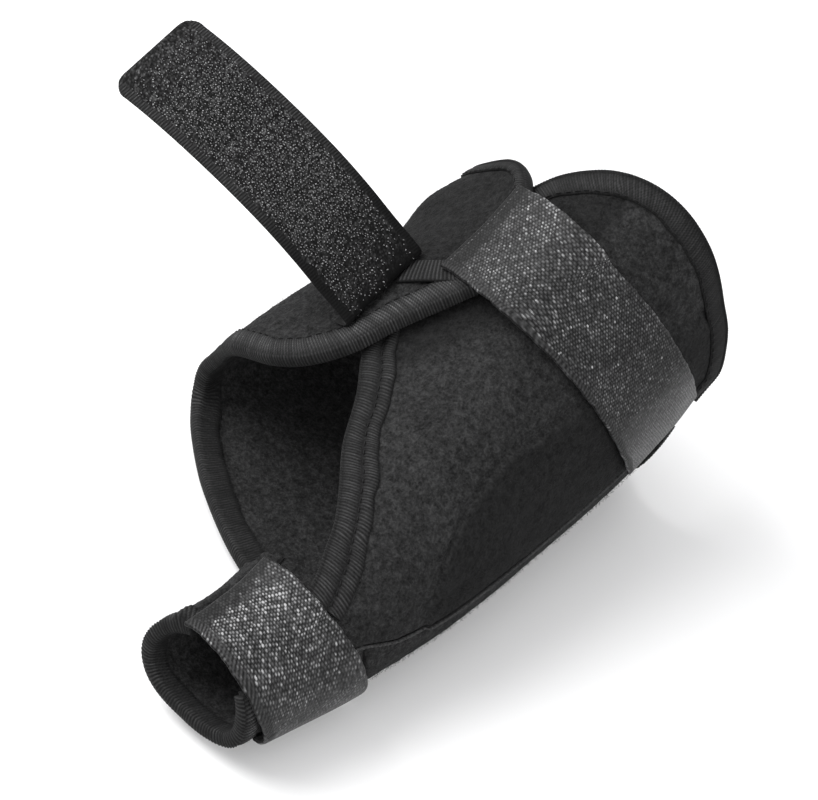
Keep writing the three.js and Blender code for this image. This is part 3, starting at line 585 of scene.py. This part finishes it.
def stitch_row(name, lines, radius, long, pitch, mat):
    """Small rounded stitches along lines; a line is (points, normals)."""
    V, F = [], []
    sides, n0 = 6, 0
    prof = [(0.0, 0.35), (0.18, 0.95), (0.5, 1.15), (0.82, 0.95), (1.0, 0.35)]
    for P, N in lines:
        arc = np.concatenate([[0], np.cumsum(np.linalg.norm(np.diff(P, axis=0), axis=1))])
        for c in np.arange(pitch * 0.5, arc[-1] - long, pitch):
            c = c + rng.uniform(-0.08, 0.08) * pitch
            ring = []
            for x, r in prof:
                s = c + x * long
                q = np.array([np.interp(s, arc, P[:, k]) for k in range(3)])
                n = unit(np.array([np.interp(s, arc, N[:, k]) for k in range(3)]))
                t = unit(np.array([np.interp(s + 0.1, arc, P[:, k]) - np.interp(s - 0.1, arc, P[:, k]) for k in range(3)]))
                b = np.cross(n, t)
                sink = -radius * 0.75 * (2 * abs(x - 0.5)) ** 2
                for g in range(sides):
                    w = 2 * math.pi * g / sides
                    ring.append(q + b * math.cos(w) * radius * r + n * (math.sin(w) * radius * r * 0.8 + sink))
            V += ring
            for a in range(len(prof) - 1):
                for g in range(sides):
                    F.append([n0 + a * sides + g, n0 + a * sides + (g + 1) % sides, n0 + (a + 1) * sides + (g + 1) % sides, n0 + (a + 1) * sides + g])
            e = n0 + (len(prof) - 1) * sides
            F += [[n0, n0 + 5, n0 + 4, n0 + 3], [n0, n0 + 3, n0 + 2, n0 + 1], [e, e + 1, e + 2, e + 3], [e, e + 3, e + 4, e + 5]]
            n0 += len(prof) * sides
    o = put(name, V, F)
    o.data.materials.append(mat)
    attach(o, "root")
    return o


flap_lo = flap_under
flap_hi = lambda y, th: flap_under(y, th) + PANEL
cuff_hi = cuff_outer

# The two medial tapes and the flap's rear tape get painted shade: their ribs are drawn at under half the lightness of
# the other tapes.
t_mf, run_mf = tape_mesh("medial_front_binding", medial_patch, 0, 0.19, 0.985, 8.3, zero, medial_outer, 1, bands=((-0.02, 0.52), (0.60, 1.0)), bright=0.45)
add(t_mf, tape_mat, ["medial_front_tape"])
t_mr, run_mr = tape_mesh("medial_rear_binding", medial_patch, 1, 0.0, 1.0, 6.0, zero, medial_outer, 1, bright=0.45)
add(t_mr, tape_mat, ["medial_rear_tape"])
t_ff, run_ff = tape_mesh("flap_front_binding", flap_patch, 0, 0.137, 0.995, 6.0, flap_lo, flap_hi, 2)
add(t_ff, tape_mat, ["flap_front_tape"])
t_fr, run_fr = tape_mesh("flap_rear_binding", flap_patch, 1, 0.012, 0.985, 2.9, flap_lo, flap_hi, 2, bright=0.45, amp=0.05)
add(t_fr, tape_mat, ["flap_rear_tape"])
t_cf, run_cf = tape_mesh("cuff_front_binding", cuff_patch, 0, 0.02, 1.0, 4.3, zero, cuff_hi, 1, rib=0.85, amp=0.14)
add(t_cf, tape_mat, ["cuff_front_tape"])


# ---------- straps ----------
def loops(u, v, pitch=(0.88, 0.76), jitter=0.16, shear=0.18, low=0.25):
    """A field of small loops over places u along and v across, in mm: 0 between them, up to 1 on the bright ones."""
    pu, pv = pitch
    a, b = (u + shear * v) / pu, v / pv
    n, m = int(a.max()) + 6, int(b.max()) + 6
    ja, jb = rng.uniform(-jitter, jitter, (2, n, m))
    high = low + (1 - low) * rng.random((n, m)) ** 1.6
    wide = rng.uniform(0.42, 0.62, (n, m))
    best = np.zeros(u.shape)
    i0, j0 = np.floor(a).astype(int), np.floor(b).astype(int)
    for di in (-1, 0, 1):
        for dj in (-1, 0, 1, 2):
            i, j = np.clip(i0 + di, 0, n - 1), np.clip(j0 + dj, 0, m - 1)
            ca, cb = i + 0.5 + ja[i, j] + 0.5 * (j % 2), j + 0.5 + jb[i, j]
            d = np.sqrt(((a - ca) * 1.0) ** 2 + ((b - cb) * 0.9) ** 2)
            best = np.maximum(best, high[i, j] * np.clip(1 - (d / wide[i, j]) ** 2, 0, 1))
    return best


def strap_on(name, rows, width, step, fade, band, selvedge, slant, tone, cut=0.0, amp=0.12):
    """A strap on the last: loops over most of it, a dim band at the top end, and a plain field from fade on.

    tone lists, in mm from the top end, how light the loops are drawn along the strap, a painted highlight strongest
    near the top, and the plain field's tone, partly its flattened loops and partly painted sheen."""
    line = curve(rows)
    u = np.linspace(0, 1, 400)
    y, th = line(u)[:2]
    p = on_last(y, th)
    arc = np.concatenate([[0], np.cumsum(np.linalg.norm(np.diff(p, axis=0), axis=1))])
    L = arc[-1]
    a = np.concatenate([[0, 0.12, 0.35], np.arange(0.7, L - 0.7, step), [L - 0.35, L - 0.12, L]])
    vv = np.concatenate([[0, 0.1, 0.3], np.arange(0.6, width - 0.6, step), [width - 0.3, width - 0.1, width]])
    A0, V = np.meshgrid(a, vv, indexing="ij")
    share = 1 - cut * (1 - V / width)
    A = A0 * share
    uu = np.interp(A, arc, u)
    y, th, h, rear = line(uu)
    ya, ta = line(np.maximum(0, uu - 0.01))[:2]
    yb, tb = line(np.minimum(1, uu + 0.01))[:2]
    run = unit(on_last(yb, tb) - on_last(ya, ta))
    across = np.cross(ways(y, th)[2], run)
    away = V - width / 2 + rear * V / width
    # the woven edges are not quite straight
    away = away + (0.10 * np.sin(A * 0.9 + 1) + 0.06 * np.sin(A * 2.3)) * (2 * V / width - 1)
    Y, TH = step_on(y, th, across, away, 1)
    edge = np.minimum(np.minimum(V, width - V), np.minimum(A0, L - A0))
    e = rounded(edge, 0.5)
    # The loops' colour is their knit pattern with painted highlights: lighter near the top of the strap as tone lists,
    # and rare painted glints on single loops.
    field = 1.32 * loops(A, V, jitter=0.13, low=0.55) ** 2.0
    glints = rng.random((int(L / 0.9) + 3, int(width / 0.9) + 3))[(A / 0.9).astype(int), (V / 0.9).astype(int)]
    bright = np.interp(A, [t[0] for t in tone], [t[1] for t in tone])
    field = field * (bright + (glints > 0.95) * 0.55 * smooth(0.2, 0.8, field))
    top = band[0] + (band[1] - band[0]) * V / width + 0.35 * np.sin(V * 1.1)
    kept = smooth(top, top + 1.6, A)
    scatter = rng.random((int(L) + 2, int(width) + 2))[A.astype(int), V.astype(int)]
    gone = smooth(fade[0], fade[1], A - 0.25 * V + 5 * scatter)
    ribbed_edge = (1 - smooth(selvedge - 0.4, selvedge + 0.3, V + 0.25 * np.sin(A * 0.7))) * smooth(0.1, 0.5, edge)
    rib = 0.5 + 0.5 * np.cos(2 * np.pi * (A + slant * V) / 0.95)
    weave = 0.5 + 0.25 * (np.cos(2 * np.pi * (A + 0.3 * V) / 0.95) + np.cos(2 * np.pi * (V - 0.2 * A) / 0.8))
    body = field * (0.35 + 0.65 * kept) * (1 - gone)
    # The plain field is drawn lighter partly for its flattened loops and partly as painted sheen.
    low = gone * np.interp(A, [t[0] for t in tone], [t[2] for t in tone]) * (0.45 + 1.1 * weave)
    mk = body + low
    # The ribbed edge's rib crests carry painted highlights, scaled along the strap like the loops.
    mk = mk * (1 - 0.8 * ribbed_edge) + ribbed_edge * 0.17 * rib**1.5 * (0.4 + bright) * (1 - 0.5 * gone)
    rel = amp * (loops_scale * body + 0.4 * gone * weave + ribbed_edge * 0.4 * rib - 0.6 * np.exp(-(((V - selvedge) / 0.3) ** 2)) * (1 - gone))
    rel = rel * smooth(0, 0.4, edge)
    base, nrm = on_last(Y, TH), ways(Y, TH)[2]
    # the edges stand up a little where the tape is stiffer than the cloth under it
    wave = 0.2 * np.sin(A * 0.21 + 0.6) * smooth(width * 0.5, 0, np.minimum(V, width - V)) * smooth(0, 10, A) * smooth(0, 10, L - A0)
    mid = h + STRAP / 2 + np.maximum(wave, 0)
    lo = base + nrm * (mid - STRAP / 2 * e)[..., None]
    hi = base + nrm * (mid + (STRAP / 2 - 0.1) * e + rel)[..., None]
    v, q = two_faces(lo, hi)
    uv = np.stack([A, V], -1).reshape(-1, 2)
    o = put(name, v, q, np.concatenate([uv, uv]), marks={"weave_and_highlight": np.concatenate([0.25 * weave.ravel(), mk.ravel()])})
    i = int(np.searchsorted(a, 1.3))
    # the tape's real length and area, on its middle surface and without the relief
    flat = base + nrm * mid[..., None]
    along = np.linalg.norm(np.diff(flat, axis=0), axis=-1).sum(0)
    wide = np.linalg.norm(np.diff(flat, axis=1), axis=-1).sum(1)
    d1, d2 = flat[1:, :-1] - flat[:-1, :-1], flat[:-1, 1:] - flat[:-1, :-1]
    size = (float(wide.max()) * MM, float(along.max()) * MM, float(np.linalg.norm(np.cross(d1, d2), axis=-1).sum()) * MM * MM)
    return o, size, (hi[i, 4:-4], nrm[i, 4:-4])


loops_scale = 1.3
toe, toe_size, _ = strap_on("toe_strap_tape", TOE_STRAP, TOE_STRAP_W, 0.24, (20, 40), (4.5, 1.5), 2.6, 0.6, [(0, 0.45, 0.3), (7, 1.22, 0.28), (16, 0.98, 0.34), (30, 0.68, 0.40), (60, 0.64, 0.52)])
add(toe, knit("toe_strap_knit", 0.004, 0.40), ["toe_strap"])
ankle, ankle_size, ankle_row = strap_on("ankle_strap_tape", ANKLE_STRAP, STRAP_W, 0.265, (54, 70), (5.5, 2.5), 1.8, 0.1, [(0, 0.32, 0.3), (6, 0.64, 0.3), (12, 0.80, 0.3), (24, 0.68, 0.26), (40, 0.62, 0.26), (60, 0.50, 0.32), (84, 0.50, 0.56)], ANKLE_CUT)
add(ankle, knit("ankle_strap_knit", 0.004, 0.40), ["ankle_strap"])


# ---------- the midfoot strap, held open ----------
def catmull(P, per=40):
    """Centripetal Catmull-Rom through rows of points; P is (rows, ..., 3)."""
    P = [P[i] for i in range(len(P))]
    P = [2 * P[0] - P[1], *P, 2 * P[-1] - P[-2]]
    out = []
    for i in range(1, len(P) - 2):
        x0, x1, x2, x3 = P[i - 1 : i + 3]
        d0, d1, d2 = (np.maximum(np.sqrt(np.linalg.norm(b - a, axis=-1, keepdims=True)), 1e-4) for a, b in ((x0, x1), (x1, x2), (x2, x3)))
        t1 = ((x1 - x0) / d0 - (x2 - x0) / (d0 + d1) + (x2 - x1) / d1) * d1
        t2 = ((x2 - x1) / d1 - (x3 - x1) / (d1 + d2) + (x3 - x2) / d2) * d1
        last = i == len(P) - 3
        for t in np.linspace(0, 1, per + 1)[: None if last else -1]:
            out.append(x1 + t1 * t + (-3 * x1 + 3 * x2 - 2 * t1 - t2) * t**2 + (2 * x1 - 2 * x2 + t1 + t2) * t**3)
    return np.stack(out)


def open_strap(step):
    g = unit(np.array(FOLD_ALONG, float))
    mid = np.array(FOLD_MID, float)
    out_way = unit(np.array([-1.0, 0, 0]) + g * g[0])
    up_way = unit(np.cross(g, out_way))
    if up_way[2] < 0:
        up_way = -up_way
    high = UNDER + PANEL + GAP + STRAP / 2
    nv = int(STRAP_W / step)
    t = np.linspace(0, 1, nv + 1)
    line = mid + (t - 0.5)[:, None] * STRAP_W * g
    y, th = np.full(nv + 1, FOLD_GUESS[0]), np.full(nv + 1, FOLD_GUESS[1])
    for _ in range(14):
        d = line - lift(y, th, np.full(nv + 1, high))
        out = ways(y, th)[2]
        d = d - out * (d * out).sum(-1, keepdims=True)
        far = np.linalg.norm(d, axis=-1)
        y, th = step_on(y, th, d + 1e-9, far, parts=2)
    W = np.repeat(out_way[None], nv + 1, 0)
    rows = []
    for dd in TAB:
        a, b = step_on(y, th, W, np.full(nv + 1, dd), parts=3)
        rows.append(lift(a, b, np.full(nv + 1, high)))
    base = lift(y, th, np.full(nv + 1, high))
    rows.append(base + up_way * 0.25)
    for o, u in FREE:
        near = math.exp(-max(0, o) / 6)
        rows.append(line * (1 - near) + base * near + out_way * o + up_way * u)
    C = catmull(np.stack(rows))  # (n, across, 3)
    arc = np.concatenate([np.zeros((1, nv + 1)), np.cumsum(np.linalg.norm(np.diff(C, axis=0), axis=-1), axis=0)])
    L = arc[-1].mean()
    s = np.concatenate([[0, 0.12, 0.35], np.arange(0.7, L - 0.7, step), [L - 0.35, L - 0.12, L]]) / L
    G = np.zeros((len(s), nv + 1, 3))
    for j in range(nv + 1):
        for k in range(3):
            G[:, j, k] = np.interp(s * arc[-1, j], arc[:, j], C[:, j, k])
    # even the curve out a little, so that fine sampling shows no corners
    for _ in range(6):
        G[1:-1] = (G[:-2] + 2 * G[1:-1] + G[2:]) / 4
    return G, s * L, t * STRAP_W, L


def hook_strap():
    step = 0.3
    G, a, v, L = open_strap(step)
    left = L - a
    cut = np.where(left < CORNER, CORNER - np.sqrt(np.maximum(0, CORNER**2 - (CORNER - left) ** 2)), 0)
    R = np.zeros_like(G)
    V = np.zeros(G.shape[:2])
    edge_v = np.linspace(0, 1, G.shape[1])
    # lines run evenly across the strap
    edge_v = np.clip(edge_v + 0.0, 0, 1)
    for i in range(len(a)):
        w = 0.5 + (edge_v - 0.5) * (1 - 2 * cut[i] / STRAP_W)
        V[i] = w * STRAP_W
        for k in range(3):
            R[i, :, k] = np.interp(w * STRAP_W, v, G[i, :, k])
    A = np.repeat(a[:, None], G.shape[1], 1)
    tan, acr = np.gradient(R, axis=0), np.gradient(R, axis=1)
    n = unit(np.cross(tan, acr))
    return R, n, A, V, L


R, NRM, A, V, free_len = hook_strap()
cam_back = np.array([0.4759, -0.5686, 0.6706])
face = 1.0 if (NRM[40:].reshape(-1, 3) @ cam_back).mean() > 0 else -1.0  # +1: the hooks are on the +normal side
NRM = NRM * face
edge_d = np.minimum(np.minimum(V, STRAP_W - V), free_len - A)
e = rounded(np.minimum(edge_d, A), 0.5)
wr = 2 * np.pi / 0.78
side_d = np.minimum(V, STRAP_W - V)
selv = 1 - smooth(2.0, 3.0, side_d + 0.3 * np.sin(A * 0.8))
grain = loops(A, V, pitch=(0.74, 0.66), jitter=0.3, shear=0.05, low=0.1)
ragged = 1.2 * np.sin(V * 0.55 + 0.5) + 0.8 * np.sin(V * 1.7)
awake = smooth(5.5, 8.5, A + ragged)  # no hooks stand near the sewn end
rib = 0.5 + 0.5 * np.cos(A * wr + 0.5 * V)
front = 0.12 * selv * (2 * rib - 1) * smooth(0, 0.3, edge_d) + 0.14 * (1 - selv) * grain * awake
# Painted shade and highlight: the hook ground is drawn darker towards the sewn base, where the fold shades it, and the
# selvedge's rib crests lighter, fading towards the base.
front_weave_and_shade = (1 - selv) * 0.75 * grain * awake * (0.2 + 0.35 * smooth(6, 17, A + 0.32 * (STRAP_W - V) - 2) + 0.45 * smooth(14, 32, A)) + selv * 0.40 * rib**1.5 * (0.15 + smooth(15, 55, A))
back_field = loops(A, V) * smooth(10, 16, A)
back = 0.18 * back_field * smooth(0, 0.4, edge_d)
hi = R + NRM * ((STRAP / 2 - 0.12) * e + front)[..., None]
lo = R - NRM * ((STRAP / 2 - 0.12) * e + back)[..., None]
vts, q = two_faces(lo, hi)
N = R.shape[0] * R.shape[1]
on_front = (q.min(1) >= N).astype(int)
uv = np.stack([A, V], -1).reshape(-1, 2)
free = put("midfoot_strap_tape", vts, q, np.concatenate([uv, uv]), face_mat=on_front, marks={"weave_and_highlight": np.concatenate([back_field.ravel(), front_weave_and_shade.ravel()])})
add(free, [knit("midfoot_strap_knit", 0.004, 0.36), knit("midfoot_strap_ground", 0.002, 0.22, 0.05, 0.65)], ["midfoot_strap"])


def hooks():
    """Small bent hooks in uneven rows over the middle of the strap's front."""
    pu, pv = 0.80, 0.76
    V0, F0, n0 = [], [], 0
    ring = 4
    a0, a1 = 5.6, free_len - 4.0
    surf_n = NRM
    acols = A[:, 0]
    rows_a = np.arange(a0, a1, pu)
    for r, ua in enumerate(rows_a):
        start = 2.6 + (pv / 2 if r % 2 else 0)
        for vb in np.arange(start, STRAP_W - 2.6, pv):
            # fewer stand near the sewn end and near the tip
            thin = smooth(5, 8, ua + 1.2 * math.sin(vb * 0.55 + 0.5)) * (0.35 + 0.65 * smooth(0, 14, a1 - ua + 3.0 * math.sin(vb * 0.7)))
            thin = thin * (0.1 + 0.5 * float(smooth(6, 19, ua + 0.32 * (STRAP_W - vb) - 2)) + 0.4 * float(smooth(14, 30, ua)))
            if rng.random() > 0.06 + 0.88 * thin or thin < 0.05:
                continue
            uu, vv = ua + rng.normal(0, 0.13), vb + rng.normal(0, 0.13)
            i = np.clip(np.interp(uu, acols, np.arange(len(acols))), 1, len(acols) - 2)
            j = np.clip(vv / STRAP_W * (R.shape[1] - 1), 1, R.shape[1] - 2)
            i0, j0 = int(i), int(j)
            fi, fj = i - i0, j - j0
            p = R[i0, j0] * (1 - fi) * (1 - fj) + R[i0 + 1, j0] * fi * (1 - fj) + R[i0, j0 + 1] * (1 - fi) * fj + R[i0 + 1, j0 + 1] * fi * fj
            nn = surf_n[i0, j0]
            tn = unit(R[i0 + 1, j0] - R[i0 - 1, j0])
            bn = np.cross(nn, tn)
            size = rng.uniform(0.12, 0.24)
            lean = rng.uniform(-1, 1, 2) * 0.22
            w0 = rng.uniform(0, 2 * math.pi)
            p = p + nn * (STRAP / 2 - 0.15)
            tall = rng.uniform(0.25, 0.5)
            prof = [(0.0, 0.55), (0.45, 0.6), (0.75, 1.0), (0.95, 0.7)]
            for x, rr in prof:
                c = p + nn * tall * x + (tn * lean[0] + bn * lean[1]) * x
                for g in range(ring):
                    w = w0 + 2 * math.pi * g / ring
                    V0.append(c + (tn * math.cos(w) + bn * math.sin(w) * 0.6) * size * rr)
            V0.append(p + nn * tall * 1.03 + (tn * lean[0] + bn * lean[1]))
            for k in range(3):
                for g in range(ring):
                    F0.append([n0 + k * ring + g, n0 + k * ring + (g + 1) % ring, n0 + (k + 1) * ring + (g + 1) % ring, n0 + (k + 1) * ring + g])
            tip = n0 + 4 * ring
            for g in range(0, ring, 2):
                F0.append([n0 + 3 * ring + g, n0 + 3 * ring + (g + 1) % ring, n0 + 3 * ring + (g + 2) % ring, tip])
            n0 += 4 * ring + 1
    return put("midfoot_strap_hooks", V0, F0)


hk = hooks()
hk.data.materials.append(thread("hook_bristle", 0.012, 0.48, 0.4, 0.3))
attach(hk, "root")

# ---------- the ribbed fold of the same strap, between its base and the ankle strap ----------
def ribbed_fold():
    corner = np.array([[-25.6, -242.6], [-18.0, -255.4], [-12.5, -251.5], [-18.2, -240.4]])
    S, T = np.meshgrid(np.linspace(0, 1, 90), np.linspace(0, 1, 44), indexing="ij")
    y, th = ((1 - S) * (1 - T) * corner[0, k] + S * (1 - T) * corner[1, k] + S * T * corner[2, k] + (1 - S) * T * corner[3, k] for k in (0, 1))
    base = flap_under(y, th) + PANEL
    e = rounded(np.minimum(np.minimum(S, 1 - S) * 12, np.minimum(T, 1 - T) * 8), 0.6)
    turn = 2 * np.pi * (S * 15 + T * 1.5)
    rise = 0.22 * np.sin(np.pi * S) * (1 - T) + 0.05 * np.cos(turn)
    hi = lift(y, th, base + 0.62 + 0.3 * e + rise, 2)
    lo = lift(y, th, base + 0.55 - 0.3 * e, 2)
    v, q = two_faces(lo, hi)
    own = rng.uniform(0.5, 1.0, 64)[np.clip((turn / (2 * np.pi)).astype(int), 0, 63)]
    # Painted highlight: each rib's crest drawn lighter, by a random amount for each rib.
    mk = 0.30 * (0.15 + 0.85 * (0.5 + 0.5 * np.cos(turn)) ** 2) * own * smooth(0, 0.12, T)
    uv = np.stack([S * 12, T * 8], -1).reshape(-1, 2)
    return put("midfoot_strap_fold", v, q, np.concatenate([uv, uv]), marks={"weave_and_highlight": np.concatenate([0 * mk.ravel(), mk.ravel()])})


fold_piece = ribbed_fold()
fold_piece.data.materials.append(tape_mat)
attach(fold_piece, "root")

# ---------- seam along the sole edge ----------
def seam_cord():
    t = np.linspace(0.12, 0.985, 700)
    y, th = medial_seam(t)
    th = th - SEAM_DEG
    hi = medial_outer(y, th + 1.5)
    c = lift(y, th, hi - 0.1)
    n = ways(y, th)[2]
    tan = unit(np.gradient(c, axis=0))
    b = np.cross(n, tan)
    arc = np.concatenate([[0], np.cumsum(np.linalg.norm(np.diff(c, axis=0), axis=1))])
    r = 0.42 + 0.05 * np.cos(arc * 2 * np.pi / 1.3)
    k = 8
    P = np.stack([c + (b * math.cos(2 * math.pi * g / k) + n * math.sin(2 * math.pi * g / k)) * r[:, None] for g in range(k)], 1)
    idx = np.arange(P.shape[0] * k).reshape(-1, k)
    j = np.arange(k)
    f = np.stack([idx[:-1][:, j], idx[:-1][:, (j + 1) % k], idx[1:][:, (j + 1) % k], idx[1:][:, j]], -1).reshape(-1, 4)
    ends = [[idx[0, 7], idx[0, 6], idx[0, 5], idx[0, 4]], [idx[0, 7], idx[0, 4], idx[0, 3], idx[0, 0]], [idx[0, 3], idx[0, 2], idx[0, 1], idx[0, 0]]]
    ends += [[idx[-1, 0], idx[-1, 1], idx[-1, 2], idx[-1, 3]], [idx[-1, 0], idx[-1, 3], idx[-1, 4], idx[-1, 7]], [idx[-1, 4], idx[-1, 5], idx[-1, 6], idx[-1, 7]]]
    return put("seam_welt", P.reshape(-1, 3), np.concatenate([f, np.array(ends)]))


welt = seam_cord()
welt.data.materials.append(thread("welt_thread", 0.012, 0.06))
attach(welt, "root")


# ---------- stitch rows ----------
def beside(run, inward, over, outer, height=0.12, lo=0.0, hi=1.0):
    a, y, th, tangent, into, wide = run
    k = slice(int(len(a) * lo), max(2, int(len(a) * hi)), 4)
    yy, tt = step_on(y[k], th[k], into[k], (wide * inward)[k] if inward < 2 else np.full(len(a[k]), inward), outer)
    return lift(yy, tt, over(yy, tt) + height, outer), ways(yy, tt, outer)[2]


stitch_mat = thread("stitch_thread", 0.003, 0.012)
lines = [
    beside(run_mr, 0.9, medial_outer, 1, 0.75),
    beside(run_ff, 0.9, flap_hi, 2, 0.75),
    beside(run_fr, 0.9, flap_hi, 2, 0.75),
    beside(run_mf, 0.575, medial_outer, 1, 0.5),
    beside(run_cf, 0.88, cuff_hi, 1, 0.7),
]
stitch_row("binding_stitches", lines, 0.21, 1.7, 2.7, stitch_mat)
stitch_row("ankle_end_stitches", [ankle_row], 0.13, 0.7, 1.25, thread("light_thread", 0.02, 0.16))

# ---------- stray fibres of the pile ----------
def fibres(name, spots, mat):
    """Short bent hairs; a spot is a range of y, a range of th, the outer side, the outer face and how many."""
    P, T = [], []
    for (y0, y1), (t0, t1), outer, top, count in spots:
        y, th = rng.uniform(y0, y1, count), rng.uniform(t0, t1, count)
        out = ways(y, th, outer)[2]
        side = unit(rng.normal(size=(count, 3)))
        side = unit(side - out * (side * out).sum(-1, keepdims=True))
        base = lift(y, th, top(y, th) - 0.25, outer)
        long = rng.uniform(0.5, 1.25, count)[:, None]
        lean = rng.uniform(0.2, 1.1, count)[:, None]
        w = np.cross(out, side) * 0.035
        mid = base + out * long * 0.6 + side * long * lean * 0.25
        tip = base + out * long * 0.9 + side * long * lean
        n = len(P) and sum(len(q) for q in P)
        V = np.stack([base - w, base + w, mid - w * 0.8, mid + w * 0.8, tip - w * 0.3, tip + w * 0.3, mid + out * 0.05, tip + out * 0.04], 1)
        i = n + np.arange(count)[:, None] * 8
        F = np.concatenate([i + np.array(f)[None] for f in ([0, 1, 3, 2], [2, 3, 5, 4], [0, 2, 6, 0][:3] + [1], [2, 4, 7, 6], [3, 6, 7, 5])])
        P.append(V.reshape(-1, 3))
        T.append(F)
    o = put(name, np.concatenate(P), np.concatenate(T))
    o.data.materials.append(mat)
    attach(o, "root")
    return o


fibre_mat = thread("pile_fibre", 0.005, 0.035)
fibres("medial_pile", [((-70, 30), (-2, 14), 1, medial_outer, 1500), ((-70, 20), (14, 100), 1, medial_outer, 2200)], fibre_mat)
fibres("sole_pile", [((-84, 26), (-45, -8), 2, lambda y, th: flap_hi(y, th), 1300), ((-50, 15), (-245, -165), 2, lambda y, th: flap_hi(y, th), 1300)], fibre_mat)

# ---------- floor, light and camera ----------
me = bpy.data.meshes.new("floor")
h = 1.6
z = -4.6 * MM
me.from_pydata([(-h, -h, z), (h, -h, z), (h, h, z), (-h, h, z)], [], [(0, 1, 2, 3)])
floor = bpy.data.objects.new("floor", me)
bpy.context.scene.collection.objects.link(floor)
m, nt, b = material("pale_floor")
b.inputs["Base Color"].default_value = (0.9, 0.9, 0.9, 1)
b.inputs["Roughness"].default_value = 0.9
me.materials.append(m)
floor.visible_diffuse = False

world = bpy.data.worlds.new("studio") if bpy.context.scene.world is None else bpy.context.scene.world
bpy.context.scene.world = world
world.use_nodes = True
wt = world.node_tree
bg = wt.nodes["Background"]
bg.inputs[1].default_value = 0.75
# a studio that is bright above and dim below the table
sep = wt.nodes.new("ShaderNodeSeparateXYZ")
wt.links.new(wt.nodes.new("ShaderNodeTexCoord").outputs["Generated"], sep.inputs[0])
wt.links.new(ramp(wt, math_node(wt, "MULTIPLY_ADD", sep.outputs[2], 0.5), [(0.42, 0.12), (0.62, 1.0)]), bg.inputs[0])
[n for n in wt.nodes if n.type == "MATH"][0].inputs[2].default_value = 0.5


def area(name, loc, target, size, power):
    d = bpy.data.lights.new(name, "AREA")
    d.shape, d.size, d.energy = "SQUARE", size, power
    o = bpy.data.objects.new(name, d)
    from mathutils import Vector

    o.location = Vector(loc)
    o.rotation_mode = "QUATERNION"
    o.rotation_quaternion = (Vector(target) - Vector(loc)).to_track_quat("-Z", "Y")
    bpy.context.scene.collection.objects.link(o)


area("key", (-0.50, -0.30, 0.62), (0, -0.03, 0.03), 0.7, 9.0)
area("fill", (0.75, -0.25, 0.35), (0, -0.03, 0.03), 0.6, 3.8)

cam = bpy.data.cameras.new("camera")
cam.lens, cam.sensor_width, cam.clip_start, cam.clip_end = 114.44, 36.0, 0.01, 10
eye = bpy.data.objects.new("camera", cam)
eye.location = (0.333179, -0.398013, 0.471375)
eye.rotation_mode = "QUATERNION"
eye.rotation_quaternion = (0.8168741, 0.3947514, 0.1122654, 0.4053202)
bpy.context.scene.collection.objects.link(eye)
bpy.context.scene.camera = eye
bpy.context.scene.view_settings.view_transform = "Standard"
